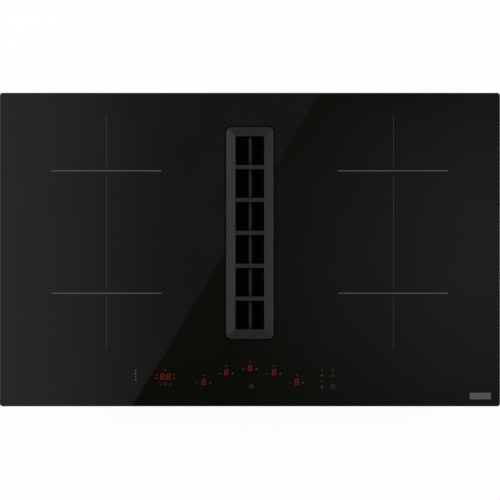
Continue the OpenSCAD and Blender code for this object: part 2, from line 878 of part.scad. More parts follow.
// Angle brackets bonded under the glass, inside the casing's walls
module glass_brackets() {
    color(STEEL)
        difference() {
            for (s = [-1, 1]) {
                for (y = [-bracket_y, bracket_y]) {
                    translate([s * (inner_w / 2 - 0.75), y, glass_under - 3.5])
                        cube([1.5, bracket_l, 7], center = true);
                    translate([s * (inner_w / 2 - 4), y, glass_under - 0.75])
                        cube([8, bracket_l, 1.5], center = true);
                }
                for (x = [-bracket_x, bracket_x]) {
                    translate([x, s * (inner_d / 2 - 0.75), glass_under - 3.5])
                        cube([bracket_l, 1.5, 7], center = true);
                    translate([x, s * (inner_d / 2 - 4), glass_under - 0.75])
                        cube([bracket_l, 8, 1.5], center = true);
                }
            }
            bracket_places()
                screw_hole(20);
        }
}

module casing_screws() {
    color(GREY)
        bracket_places()
            screw(sheet_t + 3);
}

module casing_partitions() {
    y0 = zone_ys[1] - carrier_r + 4;
    y1 = zone_ys[0] + carrier_r;
    color(STEEL)
        mirrored() {
            block([partition_x - sheet_t, y0, floor_top],
                  [partition_x, y1, coil_plate_bottom]);
            block([partition_x - sheet_t, y0, coil_plate_bottom - sheet_t],
                  [partition_x + plate_ledge, y1, coil_plate_bottom]);
        }
}

module clamp_screws() {
    l = clamp_lug_top - (glass_under - clamp_drop) + clamp_t + 6;
    color(GREY)
        for (y = [-clamp_y, clamp_y])
            mirrored()
                translate([clamp_x, y, clamp_lug_top]) {
                    cylinder(h = 2.5, r = clamp_screw_r + 1.6);
                    translate([0, 0, -l])
                        cylinder(h = l + EPS, r = clamp_screw_r);
                }
}

// Swivelling arm, folded along the casing: sx and sy are the sides it sits on
module clamp_arm(sx, sy) {
    z = glass_under - clamp_drop;
    color(STEEL)
        translate([sx * clamp_x, sy * clamp_y, z])
            difference() {
                union() {
                    cylinder(h = clamp_t, r = clamp_hub_r);
                    translate([-clamp_w / 2, sy > 0 ? -clamp_arm : 0, 0])
                        cube([clamp_w, clamp_arm, clamp_t]);
                    translate([-clamp_w / 2, sy > 0 ? -clamp_arm : clamp_arm - 4, 0])
                        cube([clamp_w, 4, clamp_t + 3]);
                }
                translate([0, 0, -1])
                    cylinder(h = clamp_t + 2, r = clamp_screw_r + pin_gap);
            }
}

// Coils

module zone_places() {
    for (x = [-zone_x, zone_x], y = zone_ys)
        translate([x, y, 0])
            children();
}

// Outline of a wound strand: out along its outer side, back along its inner side
function spiral(r0, r1, turns, w, n = 20) =
    let (steps = turns * n)
        concat(
            [for (i = [0:steps]) let (r = r0 + (r1 - r0) * i / steps, a = i * 360 / n)
                [r * cos(a), r * sin(a)]],
            [for (i = [steps:-1:0]) let (r = r0 + w + (r1 - r0) * i / steps, a = i * 360 / n)
                [r * cos(a), r * sin(a)]]
        );

module coils() {
    color(COPPER)
        zone_places()
            translate([0, 0, carrier_top])
                linear_extrude(coil_t)
                    polygon(spiral(coil_hole_r, coil_r - strand_w, coil_turns, strand_w));
}

module ferrite_places() {
    r_mid = coil_hole_r + ferrite_in + ferrite_l / 2;
    for (i = [0:ferrites - 1])
        rotate([0, 0, (i + 0.5) * 360 / ferrites])
            translate([r_mid, 0, 0])
                children();
}

module coil_carriers() {
    color([0.16, 0.16, 0.17])
        zone_places()
            difference() {
                translate([0, 0, coil_plate_top])
                    cylinder(h = carrier_t, r = carrier_r);
                translate([0, 0, coil_plate_top - 1])
                    cylinder(h = carrier_t + 2, r = sensor_r + 1);
                ferrite_places()
                    translate([0, 0, coil_plate_top + ferrite_t / 2 - 0.5])
                        cube([ferrite_l + 0.8, ferrite_w + 0.8, ferrite_t + 1.2], center = true);
            }
}

module ferrite_bars() {
    color([0.12, 0.12, 0.13])
        zone_places()
            ferrite_places()
                translate([0, 0, coil_plate_top + ferrite_t / 2])
                    cube([ferrite_l, ferrite_w, ferrite_t], center = true);
}

module mica_discs() {
    color([0.8, 0.78, 0.7])
        zone_places()
            translate([0, 0, coil_top])
                difference() {
                    cylinder(h = mica_t, r = coil_r + 1);
                    translate([0, 0, -1])
                        cylinder(h = mica_t + 2, r = sensor_r + 1);
                }
}

module temperature_sensors() {
    color([0.85, 0.85, 0.82])
        zone_places()
            translate([0, 0, coil_plate_top])
                cylinder(h = mica_top + 0.1 - coil_plate_top, r = sensor_r);
}

// Aluminium plate under the two coils of one side
module coil_plate(s) {
    x0 = partition_x + 1;
    x1 = inner_w / 2 - coil_plate_edge;
    y0 = zone_ys[1] - carrier_r;
    y1 = zone_ys[0] + carrier_r;
    color([0.75, 0.76, 0.78])
        mirror([s < 0 ? 1 : 0, 0, 0])
            difference() {
                block([x0, y0, coil_plate_bottom], [x1, y1, coil_plate_top]);
                for (y = zone_ys)
                    translate([zone_x, y, coil_plate_bottom - 1])
                        cylinder(h = coil_plate_t + 2, r = 3);
            }
}

// Electronics

module power_boards() {
    color(BOARD)
        mirrored()
            block([power_x, power_y0, board_bottom],
                  [power_x + power_w, power_y0 + power_l, board_top]);
}

module board_standoffs() {
    color([0.8, 0.8, 0.75])
        mirrored()
            for (x = [power_x + 8, power_x + power_w - 8],
                 y = [power_y0 + 8, power_y0 + power_l - 8])
                translate([x, y, floor_top])
                    cylinder(h = standoff_h, r = standoff_r);
}

// Comb-shaped section of the heatsink
function comb(w, h, base, n, t) =
    let (pitch = (w - t) / (n - 1))
        concat(
            [[0, 0], [w, 0]],
            [for (i = [n - 1:-1:0], k = [0:3])
                [i * pitch + (k < 2 ? t : 0), (k == 0 || k == 3) ? base : h]]
        );

module heatsinks() {
    color([0.7, 0.71, 0.73])
        mirrored()
            along_y(heatsink_y0, heatsink_y0 + heatsink_l)
                translate([heatsink_x, board_top])
                    polygon(comb(heatsink_w, heatsink_h, heatsink_base, heatsink_fins, fin_t));
}

module board_components() {
    space = heatsink_x - power_x;
    color([0.25, 0.25, 0.3])
        mirrored() {
            for (i = [0:2]) {
                translate([power_x + space * 0.2, power_y0 + power_l * (i + 0.75) / 4, board_top])
                    cylinder(h = heatsink_h, r = 11);
                translate([power_x + space * 0.45, power_y0 + power_l * (i + 0.5) / 4, board_top])
                    cube([34, 20, heatsink_h * 0.88]);
            }
            for (i = [0:1])
                translate([power_x + space * 0.85, power_y0 + power_l * (i + 0.6) / 2.4,
                           board_top])
                    difference() {
                        cylinder(h = 14, r = 15);
                        translate([0, 0, -1])
                            cylinder(h = 16, r = 6);
                    }
        }
}

module fan_frames() {
    color(BLACK)
        mirrored()
            translate([fan_x, fan_y, floor_top]) {
                difference() {
                    translate([-fan_w / 2, -fan_w / 2, 0])
                        cube([fan_w, fan_w, fan_h]);
                    translate([0, 0, -1])
                        cylinder(h = fan_h + 1 - fan_wall, r = fan_cavity_r);
                    translate([-fan_w / 2 + 14, 0, 2])
                        cube([fan_w - 28, fan_w, fan_h - 2 - fan_wall]);
                }
                translate([0, 0, fan_h - fan_wall - 9])
                    cylinder(h = 9 + EPS, r = fan_spindle_r);
            }
}

module fan_rotor(s) {
    h = fan_h - fan_wall - 3;
    color([0.2, 0.2, 0.2])
        translate([s * fan_x, fan_y, floor_top + 2])
            difference() {
                union() {
                    cylinder(h = h, r = fan_hub_r);
                    for (i = [0:fan_blades - 1])
                        rotate([0, 0, i * 360 / fan_blades])
                            translate([fan_hub_r - 1, -0.6, 1])
                                cube([rotor_r - fan_hub_r + 1, 1.2, h - 4]);
                }
                translate([0, 0, h - 9])
                    cylinder(h = 10, r = fan_spindle_r + pin_gap);
            }
}

// Controls

// Middles of the five zone displays, the outer ones further forward
display_steps = [0, display_step1, display_step2];
display_spots = [for (i = [-2:2]) [i * display_pitch, display_y - display_steps[abs(i)]]];
// Keys at the ends and in the middle of the board, as shares of its half width and half depth
key_shares = [[-0.94, -0.36], [-0.7, -0.67], [-0.6, -0.67], [0.155, -0.79], [0.82, -0.16],
              [0.926, -0.16], [0.926, -0.79]];
key_spots = concat(
    [for (p = display_spots, s = [-1, 1]) [p.x + s * key_reach, p.y]],
    [for (k = key_shares) [control_x + k.x * control_w / 2, control_y + k.y * control_d / 2]]
);

module control_holder() {
    color([0.75, 0.75, 0.73])
        translate([control_x, control_y, 0]) {
            difference() {
                slab(holder_w, holder_d, 2, holder_bottom, control_top);
                slab(holder_w - 2 * holder_wall, holder_d - 2 * holder_wall, 1,
                     control_under, control_top + 1);
                slab(holder_w - 2 * holder_wall - 6, holder_d - 2 * holder_wall - 6, 1,
                     holder_bottom + holder_wall, control_top + 1);
            }
            for (x = [-1, 1], y = [-1, 1])
                translate([x * (holder_w / 2 - 8), y * (holder_d / 2 - 8), floor_top])
                    cylinder(h = holder_bottom - floor_top + EPS, r = 4);
        }
}

module control_board() {
    color(BOARD)
        translate([control_x, control_y, 0])
            slab(control_w, control_d, 0.5, control_under, control_top);
}

module display_modules() {
    color([0.1, 0.1, 0.1]) {
        for (p = display_spots)
            translate([p.x - display_w / 2, p.y - display_d / 2, control_top])
                cube([display_w, display_d, control_drop - mica_gap]);
        translate([timer_x - timer_w / 2, control_y - display_d / 2, control_top])
            cube([timer_w, display_d, control_drop - mica_gap]);
    }
}

module touch_pads() {
    color([0.6, 0.6, 0.6])
        for (p = key_spots)
            translate([p.x, p.y, control_top])
                cylinder(h = control_drop - mica_gap / 2, r = touch_r);
}

// Mains connection

module mains_terminal() {
    y1 = terminal_y1;
    color([0.85, 0.85, 0.8])
        block([-terminal_x - terminal_w / 2, y1 - terminal_d, floor_top],
              [-terminal_x + terminal_w / 2, y1, floor_top + terminal_h]);
}

module terminal_cover() {
    y1 = terminal_y1;
    x = terminal_w / 2 + 1;
    color([0.3, 0.3, 0.3])
        difference() {
            block([-terminal_x - x - cover_t, y1 - terminal_d - 1 - cover_t, floor_top],
                  [-terminal_x + x + cover_t, y1 + 1, floor_top + terminal_h + 1 + cover_t]);
            block([-terminal_x - x, y1 - terminal_d - 1, floor_top - 1],
                  [-terminal_x + x, y1 + 2, floor_top + terminal_h + 1]);
        }
}

// Grommet in the rear wall, with a flange on each side of the sheet
module cable_grommet() {
    color([0.15, 0.15, 0.15])
        translate([-terminal_x, casing_d / 2, floor_top + grommet_up])
            rotate([90, 0, 0])
                difference() {
                    union() {
                        translate([0, 0, -2])
                            cylinder(h = sheet_t + 8, r = grommet_r);
                        translate([0, 0, -2])
                            cylinder(h = 2, r = grommet_r + grommet_flange);
                        translate([0, 0, sheet_t])
                            cylinder(h = 2, r = grommet_r + grommet_flange);
                    }
                    translate([0, 0, -3])
                        cylinder(h = sheet_t + 10, r = cable_r);
                }
}

// Plenum and overflow tank

module plenum_screw_places() {
    for (x = [-1, 0, 1], y = [plenum_back + rim_end / 2, -plenum_front - rim_end / 2])
        translate([x * plenum_w * 0.36, y, gasket_bottom - tub_rim_t])
            rotate([180, 0, 0])
                children();
}

module plenum_top() {
    color([0.25, 0.25, 0.26])
        difference() {
            slab(plenum_w + 2 * rim_side, plenum_l + 2 * rim_end, plenum_r, top_plate_bottom,
                 casing_bottom, plenum_y);
            slab(well_w + 2 * well_wall + 2 * rest_gap, well_l + 2 * well_wall + 2 * rest_gap,
                 well_r + well_wall, top_plate_bottom - 1, casing_bottom + 1, grille_y);
            plenum_screw_places()
                screw_hole(20);
        }
}

module plenum_gasket() {
    color([0.15, 0.15, 0.15])
        difference() {
            frame(plenum_w + 2 * rim_side, plenum_l + 2 * rim_end, plenum_r,
                  plenum_w - 2 * plenum_wall, plenum_l - 2 * plenum_wall, plenum_r - plenum_wall,
                  gasket_bottom, top_plate_bottom, plenum_y);
            plenum_screw_places()
                screw_hole(20);
        }
}

// Upright ribs on the tub's sides and back, clear of the inlet ring
module tub_ribs() {
    z0 = plenum_bottom + plenum_wall + 4;
    z1 = gasket_bottom - tub_rim_t + EPS;
    free = inlet_r + inlet_ring_w + 4;
    for (i = [0:tub_rib_count - 1]) {
        y = plenum_y + (i - (tub_rib_count - 1) / 2) * (plenum_l - 2 * plenum_r) / tub_rib_count;
        for (s = [-1, 1])
            if (s < 0 || abs(y - blower_y) > free)
                translate([s * (plenum_w / 2 + rib_proud / 2 - EPS), y, (z0 + z1) / 2])
                    cube([rib_proud + 2 * EPS, tub_rib_w, z1 - z0], center = true);
    }
    for (x = [-2:2])
        translate([x * (plenum_w / 2 - plenum_r) / 2.5, plenum_back + rib_proud / 2 - EPS,
                   (z0 + z1) / 2])
            cube([tub_rib_w, rib_proud + 2 * EPS, z1 - z0], center = true);
}

module plenum() {
    slot_w = tank_w + 2 * tank_gap;
    color([0.3, 0.3, 0.31])
        difference() {
            union() {
                slab(plenum_w, plenum_l, plenum_r, plenum_bottom, gasket_bottom, plenum_y);
                slab(plenum_w + 2 * rim_side, plenum_l + 2 * rim_end, plenum_r,
                     gasket_bottom - tub_rim_t, gasket_bottom, plenum_y);
                tub_ribs();
            }
            slab(plenum_w - 2 * plenum_wall, plenum_l - 2 * plenum_wall,
                 plenum_r - plenum_wall, plenum_floor, gasket_bottom + 1, plenum_y);
            block([-slot_w / 2, -plenum_front - 1, plenum_floor],
                  [slot_w / 2, -plenum_front + plenum_wall + plenum_r, slot_top]);
            translate([plenum_w / 2 - plenum_wall - 1, blower_y, blower_z])
                rotate([0, 90, 0])
                    cylinder(h = plenum_wall + 2, r = inlet_r);
            plenum_screw_places()
                screw_hole(20);
        }
}

module plenum_screws() {
    color(GREY)
        plenum_screw_places()
            screw(tub_rim_t + plenum_gasket_t + top_plate_t + sheet_t + 1);
}

module overflow_tank() {
    front_w = tank_w + 2 * tank_gap + 12;
    front_y = tank_y0 - rest_gap;
    color([0.75, 0.76, 0.78]) {
        difference() {
            union() {
                block([-tank_w / 2, front_y - 1, tank_z],
                      [tank_w / 2, tank_y0 + tank_l, tank_z + tank_h]);
                block([-front_w / 2, front_y - tank_front_t, plenum_bottom + 1],
                      [front_w / 2, front_y, slot_top + 4]);
            }
            block([-tank_w / 2 + tank_wall, tank_y0 + tank_wall, tank_z + tank_wall],
                  [tank_w / 2 - tank_wall, tank_y0 + tank_l - tank_wall, tank_z + tank_h + 1]);
        }
        block([-tank_grip_w / 2, front_y - tank_front_t - tank_grip_l,
               tank_z + tank_h / 2 - tank_grip_t / 2],
              [tank_grip_w / 2, front_y - tank_front_t + EPS,
               tank_z + tank_h / 2 + tank_grip_t / 2]);
    }
}

// Blower

// Spiral outline in Y and Z, drawn in by t, with its outlet running to y_end
function scroll_outline(t, y_end, a0, n = 40) =
    let (bottom = scroll_bottom + t, top = outlet_top - t)
        concat(
            [for (i = [0:n])
                let (a = a0 + (270 - a0) * i / n,
                     r = scroll_r0 + (scroll_r1 - scroll_r0) * (a - a0) / (270 - a0) - t)
                    [blower_y + r * cos(a), blower_z + r * sin(a)]],
            [[y_end, bottom], [y_end, top]]
        );

// Runs its children at each ear of the scroll, as a flat shape in Y and Z
module ear_places() {
    for (a = ear_angles) {
        r = scroll_r0 + (scroll_r1 - scroll_r0) * (a - tongue_a) / (270 - tongue_a);
        translate([blower_y + (r + 2) * cos(a), blower_z + (r + 2) * sin(a)])
            children();
    }
}

module scroll_side(x0, x1) {
    along_x(x0, x1) {
        polygon(scroll_outline(0, outlet_y, tongue_a));
        ear_places()
            circle(ear_r);
    }
}

module inlet_ring() {
    color([0.2, 0.2, 0.21])
        translate([plenum_w / 2, blower_y, blower_z])
            rotate([0, 90, 0])
                difference() {
                    cylinder(h = inlet_t, r = inlet_r + inlet_ring_w);
                    translate([0, 0, -1])
                        cylinder(h = inlet_t + 2, r = inlet_r);
                }
}

module blower_scroll() {
    color([0.22, 0.22, 0.23])
        difference() {
            scroll_side(scroll_x0, scroll_x1);
            along_x(scroll_x0 + scroll_wall, scroll_x1 + 1)
                polygon(scroll_outline(scroll_wall, outlet_y + 1, tongue_in_a));
            translate([scroll_x0 - 1, blower_y, blower_z])
                rotate([0, 90, 0])
                    cylinder(h = scroll_wall + 2, r = inlet_r);
            along_x(scroll_x1 - ear_screw_l - 2, scroll_x1 + 1)
                ear_places()
                    circle(screw_r + screw_gap);
        }
}

module motor_screw_places() {
    for (i = [0:3])
        translate([cover_x1 + motor_flange_t, blower_y, blower_z])
            rotate([45 + i * 90, 0, 0])
                translate([0, motor_screws_r, 0])
                    rotate([0, 90, 0])
                        children();
}

module blower_cover() {
    color([0.22, 0.22, 0.23])
        difference() {
            scroll_side(scroll_x1, cover_x1);
            translate([scroll_x1 - 1, blower_y, blower_z])
                rotate([0, 90, 0])
                    cylinder(h = scroll_wall + 2, r = hub_r);
            along_x(scroll_x1 - 1, cover_x1 + 1)
                ear_places()
                    circle(screw_r + screw_gap);
            motor_screw_places()
                screw_hole(motor_flange_t + scroll_wall + 1);
        }
}

module blower_screws() {
    color(GREY)
        for (a = ear_angles) {
            r = scroll_r0 + (scroll_r1 - scroll_r0) * (a - tongue_a) / (270 - tongue_a) + 2;
            translate([cover_x1, blower_y + r * cos(a), blower_z + r * sin(a)])
                rotate([0, 90, 0])
                    screw(scroll_wall + ear_screw_l);
        }
}

// Forward-curved blade as a flat strip, bent by a quarter of its depth
function blade(r, d, t) = [
    for (p = [[0, -t / 2], [0.5, d * 0.08 - t / 2], [1, d * 0.3 - t / 2], [1, d * 0.3 + t / 2],
              [0.5, d * 0.08 + t / 2], [0, t / 2]])
        [r - d + p.x * d, p.y]
];

module impeller() {
    ring_t = 2;
    color([0.3, 0.3, 0.32])
        translate([0, blower_y, blower_z])
            rotate([90, 0, 90]) {
                translate([0, 0, impeller_x0])
                    difference() {
                        cylinder(h = ring_t, r = impeller_r);
                        translate([0, 0, -1])
                            cylinder(h = ring_t + 2, r = impeller_r - blade_d);
                    }
                translate([0, 0, impeller_x1 - ring_t])
                    cylinder(h = ring_t, r = impeller_r);
                translate([0, 0, impeller_x0 + ring_t - EPS])
                    linear_extrude(impeller_x1 - impeller_x0 - 2 * ring_t + 2 * EPS)
                        for (i = [0:blades - 1])
                            rotate(i * 360 / blades)
                                polygon(blade(impeller_r - 0.4, blade_d - 0.8, blade_t));
                translate([0, 0, impeller_x1 - 18])
                    cylinder(h = 18, r = hub_r - 2);
                translate([0, 0, impeller_x1 - 1])
                    cylinder(h = shaft_end - impeller_x1 + 1, r = shaft_r);
            }
}

module fan_motor() {
    color([0.5, 0.5, 0.52])
        difference() {
            translate([cover_x1, blower_y, blower_z])
                rotate([0, 90, 0])
                    difference() {
                        union() {
                            cylinder(h = motor_flange_t, r = motor_flange_r);
                            cylinder(h = motor_l + motor_flange_t, r = motor_r);
                        }
                        for (i = [0:motor_grooves - 1])
                            translate([0, 0, motor_flange_t + 5 + i * 2 * groove_w])
                                difference() {
                                    cylinder(h = groove_w, r = motor_r + 2);
                                    translate([0, 0, -1])
                                        cylinder(h = groove_w + 2, r = motor_r - groove_d);
                                }
                        translate([0, 0, -1])
                            cylinder(h = shaft_l + 3, r = shaft_r + pin_gap);
                    }
            motor_screw_places()
                screw_hole(motor_flange_t + 1);
        }
}

module motor_screws() {
    color(GREY)
        motor_screw_places()
            screw(motor_flange_t + scroll_wall);
}

// Outlet duct and flap

module outlet_duct() {
    t = scroll_wall;
    duct_x1 = scroll_x0 + duct_w;
    color([0.85, 0.85, 0.83])
        difference() {
            union() {
                block([scroll_x0, outlet_y, scroll_bottom], [cover_x1, throat_end, outlet_top]);
                hull() {
                    block([scroll_x0, throat_end - 1, scroll_bottom],
                          [cover_x1, throat_end, outlet_top]);
                    block([scroll_x0, spigot_y0, scroll_bottom],
                          [duct_x1, spigot_y0 + 1, spigot_top]);
                }
                block([scroll_x0, spigot_y0, scroll_bottom], [duct_x1, duct_back, spigot_top]);
            }
            block([scroll_x0 + t, outlet_y - 1, scroll_bottom + t],
                  [cover_x1 - t, throat_end, outlet_top - t]);
            hull() {
                block([scroll_x0 + t, throat_end - 1, scroll_bottom + t],
                      [cover_x1 - t, throat_end, outlet_top - t]);
                block([scroll_x0 + t, spigot_y0, scroll_bottom + t],
                      [duct_x1 - t, spigot_y0 + 1, spigot_top - t]);
            }
            block([scroll_x0 + t, spigot_y0, scroll_bottom + t],
                  [duct_x1 - t, duct_back + 1, spigot_top - t]);
            translate([scroll_x0 - 1, hinge_y, hinge_z])
                rotate([0, 90, 0])
                    cylinder(h = cover_x1 - scroll_x0 + 2, r = flap_pin_r + pin_gap);
        }
}

// Rubber sleeve over the joint between scroll and duct
module duct_sleeve() {
    color([0.12, 0.12, 0.12])
        along_y(outlet_y - sleeve_l / 2, outlet_y + sleeve_l / 2)
            difference() {
                translate([scroll_x0 - sleeve_t, scroll_bottom - sleeve_t])
                    square([cover_x1 - scroll_x0 + 2 * sleeve_t,
                            outlet_top - scroll_bottom + 2 * sleeve_t]);
                translate([scroll_x0, scroll_bottom])
                    square([cover_x1 - scroll_x0, outlet_top - scroll_bottom]);
            }
}

module damper_flap() {
    x0 = scroll_x0 + scroll_wall + flap_gap;
    x1 = cover_x1 - scroll_wall - flap_gap;
    color([0.6, 0.6, 0.6]) {
        block([x0, hinge_y - flap_t / 2, scroll_bottom + scroll_wall + flap_gap],
              [x1, hinge_y + flap_t / 2, hinge_z]);
        translate([x0, hinge_y, hinge_z])
            rotate([0, 90, 0])
                cylinder(h = x1 - x0, r = hinge_r);
        translate([scroll_x0 + 0.3, hinge_y, hinge_z])
            rotate([0, 90, 0])
                cylinder(h = cover_x1 - scroll_x0 - 0.6, r = flap_pin_r);
    }
}

// Closed box of the motor's electronics, under the casing
module drive_box() {
    y0 = drive_back - drive_d / 2;
    y1 = drive_back + drive_d / 2;
    color([0.2, 0.2, 0.21])
        difference() {
            union() {
                block([drive_x, y0, casing_bottom - drive_h], [drive_x + drive_w, y1, casing_bottom]);
                block([drive_x - drive_flange, y0, casing_bottom - 2],
                      [drive_x + drive_w + drive_flange, y1, casing_bottom]);
            }
            drive_places()
                screw_hole(10);
        }
}

module drive_screws() {
    color(GREY)
        drive_places()
            screw(sheet_t + 4);
}

glass_top();
perimeter_seal();
collar_gasket();
vent_collar();
well_seal();
vent_grille();
grille_pads();
filter_frame();
filter_baffles();
filter_handle();
casing_tray();
casing_partitions();
glass_brackets();
casing_screws();
clamp_screws();
clamp_arm(-1, -1);  // clamp_arm_front_left
clamp_arm(1, -1);  // clamp_arm_front_right
clamp_arm(-1, 1);  // clamp_arm_rear_left
clamp_arm(1, 1);  // clamp_arm_rear_right
coils();
coil_carriers();
ferrite_bars();
mica_discs();
temperature_sensors();
coil_plate(-1);  // coil_plate_left
coil_plate(1);  // coil_plate_right
power_boards();
board_standoffs();
heatsinks();
board_components();
fan_frames();
fan_rotor(-1);  // fan_rotor_left
fan_rotor(1);  // fan_rotor_right
control_holder();
control_board();
display_modules();
touch_pads();
mains_terminal();
terminal_cover();
cable_grommet();
plenum();
plenum_top();
plenum_gasket();
plenum_screws();
overflow_tank();
inlet_ring();
blower_scroll();
blower_cover();
blower_screws();
impeller();
fan_motor();
motor_screws();
outlet_duct();
duct_sleeve();
damper_flap();
drive_box();
drive_screws();
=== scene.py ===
"""Looks of the downdraft induction cooktop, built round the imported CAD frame.

Metres, in the part's frame: X to the right, Y to the rear, Z up, Z 0 on the worktop's top. Only
the marks on the glass are laid out in millimetres.
"""

import math

import bmesh
import bpy
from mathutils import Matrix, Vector


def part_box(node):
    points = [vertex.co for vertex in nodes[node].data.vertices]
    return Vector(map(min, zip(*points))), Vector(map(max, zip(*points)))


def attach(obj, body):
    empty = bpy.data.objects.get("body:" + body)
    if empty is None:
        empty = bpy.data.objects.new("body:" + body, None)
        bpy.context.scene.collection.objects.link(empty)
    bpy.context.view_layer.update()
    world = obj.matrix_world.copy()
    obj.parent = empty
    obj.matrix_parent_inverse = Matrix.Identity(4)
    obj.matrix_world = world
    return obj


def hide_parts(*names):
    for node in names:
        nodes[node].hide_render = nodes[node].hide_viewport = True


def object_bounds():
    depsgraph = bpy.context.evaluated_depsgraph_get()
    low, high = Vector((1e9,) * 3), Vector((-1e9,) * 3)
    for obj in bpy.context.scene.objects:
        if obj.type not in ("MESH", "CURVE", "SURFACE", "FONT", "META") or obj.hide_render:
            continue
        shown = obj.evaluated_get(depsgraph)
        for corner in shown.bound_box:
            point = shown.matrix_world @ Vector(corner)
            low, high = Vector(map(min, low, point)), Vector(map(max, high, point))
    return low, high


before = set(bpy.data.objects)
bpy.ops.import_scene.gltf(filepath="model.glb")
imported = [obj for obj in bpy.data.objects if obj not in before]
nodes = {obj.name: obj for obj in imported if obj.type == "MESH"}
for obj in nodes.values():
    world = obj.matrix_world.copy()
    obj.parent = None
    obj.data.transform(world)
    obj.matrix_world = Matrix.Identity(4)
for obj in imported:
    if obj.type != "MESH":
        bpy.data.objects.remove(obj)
cad_low, cad_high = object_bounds()

MM = 0.001
GLASS_LOW, GLASS_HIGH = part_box("glass_top")
GRILLE_LOW, GRILLE_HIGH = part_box("vent_grille")
COLLAR_LOW, COLLAR_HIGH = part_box("vent_collar")
GLASS_TOP = GLASS_HIGH.z
COLLAR_MIDDLE = (COLLAR_LOW.y + COLLAR_HIGH.y) / 2
GRILLE_MIDDLE = (GRILLE_LOW.y + GRILLE_HIGH.y) / 2
GRILLE_HALF_X, GRILLE_HALF_Y = GRILLE_HIGH.x, (GRILLE_HIGH.y - GRILLE_LOW.y) / 2


# Shader helpers


def add(tree, kind, inputs=None, **settings):
    """Adds a shader node; an input given as a socket is joined, any other is set."""
    made = tree.nodes.new("ShaderNode" + kind)
    for key, value in settings.items():
        setattr(made, key, value)
    for key, value in (inputs or {}).items():
        if isinstance(value, bpy.types.NodeSocket):
            tree.links.new(value, made.inputs[key])
        else:
            made.inputs[key].default_value = value
    return made


def new_surface(name, rough, metal=0.0, **sockets):
    """Starts a material with one Principled shader, whose plain values sit on its own sockets."""
    material = bpy.data.materials.new(name)
    material.use_nodes = True
    tree = material.node_tree
    shader = tree.nodes["Principled BSDF"]
    shader.inputs["Roughness"].default_value = rough
    shader.inputs["Metallic"].default_value = metal
    for key, value in sockets.items():
        shader.inputs[key.replace("_", " ")].default_value = value
    return material, tree, shader


def place(tree, stretch=(1, 1, 1)):
    """Coordinates in metres on the piece, stretched along its axes."""
    source = add(tree, "TexCoord").outputs["Object"]
    return add(tree, "Mapping", {"Vector": source, "Scale": stretch}).outputs["Vector"]


def noise(tree, where, scale, detail=3.0, roughness=0.55):
    """Cloudy pattern from 0 to 1, with about `scale` features in a metre."""
    made = add(tree, "TexNoise", {"Vector": where, "Scale": scale, "Detail": detail,
                                  "Roughness": roughness})
    return made.outputs["Fac"]


def cells(tree, where, scale):
    """Grains with a random grey each, from 0 to 1."""
    made = add(tree, "TexVoronoi", {"Vector": where, "Scale": scale})
    return add(tree, "SeparateColor", {"Color": made.outputs["Color"]}).outputs["Red"]


def spread(tree, value, low, high, start=0.3, end=0.7):
    """Maps start..end of a pattern to low..high."""
    made = add(tree, "MapRange", {"Value": value, "From Min": start, "From Max": end,
                                  "To Min": low, "To Max": high})
    return made.outputs["Result"]


def ramp(tree, value, stops):
    """Colours along a pattern; stops are (position, (r, g, b))."""
    made = add(tree, "ValToRGB", {"Fac": value})
    points = made.color_ramp.elements
    while len(points) < len(stops):
        points.new(0.5)
    for point, (position, colour) in zip(points, stops):
        point.position = position
        point.color = (*colour, 1)
    return made.outputs["Color"]


def scaled(colour, factor):
    """A colour made darker or lighter."""
    return tuple(min(1.0, c * factor) for c in colour)


def relief(tree, shader, height, depth, under=None):
    """Adds surface relief of the given depth in metres, on top of another relief."""
    inputs = {"Height": height, "Distance": depth, "Strength": 1.0}
    if under is not None:
        inputs["Normal"] = under
    made = add(tree, "Bump", inputs)
    tree.links.new(made.outputs["Normal"], shader.inputs["Normal"])
    return made.outputs["Normal"]


def feed(tree, shader, socket, value):
    """Joins a pattern to one of the shader's sockets."""
    tree.links.new(value, shader.inputs[socket])


# Materials


def black_glass():
    """Polished black glass ceramic: deep black, with a faint cloud in its tone and its polish."""
    material, tree, shader = new_surface("black_glass", 0.02, IOR=1.5)
    where = place(tree)
    cloud = noise(tree, where, 9.0, 4.0)
    feed(tree, shader, "Base Color", ramp(tree, cloud, [(0.3, (0.0016, 0.0016, 0.0017)),
                                                        (0.7, (0.0024, 0.0024, 0.0025))]))
    feed(tree, shader, "Roughness", spread(tree, noise(tree, where, 60.0), 0.003, 0.009))
    return material


def ground_edge():
    """Finely ground bevel of the glass, dull and nearly black, with grinding marks."""
    material, tree, shader = new_surface("ground_edge", 0.5, Specular_IOR_Level=0.12)
    where = place(tree)
    marks = noise(tree, where, 900.0, 3.0, 0.65)
    feed(tree, shader, "Base Color", ramp(tree, marks, [(0.3, (0.0016, 0.0017, 0.0018)),
                                                        (0.7, (0.0034, 0.0034, 0.0035))]))
    feed(tree, shader, "Roughness", spread(tree, marks, 0.4, 0.6))
    relief(tree, shader, marks, 0.01 * MM)
    return material


def printed(name, colour):
    """Screen-printed ceramic ink, a fine grain of dots on the glass."""
    material, tree, shader = new_surface(name, 0.42, Specular_IOR_Level=0.3)
    where = place(tree)
    grain = noise(tree, where, 2600.0, 2.0)
    feed(tree, shader, "Base Color", ramp(tree, grain, [(0.35, scaled(colour, 0.85)),
                                                        (0.65, scaled(colour, 1.15))]))
    feed(tree, shader, "Roughness", spread(tree, noise(tree, where, 900.0), 0.34, 0.5))
    relief(tree, shader, grain, 0.006 * MM)
    return material


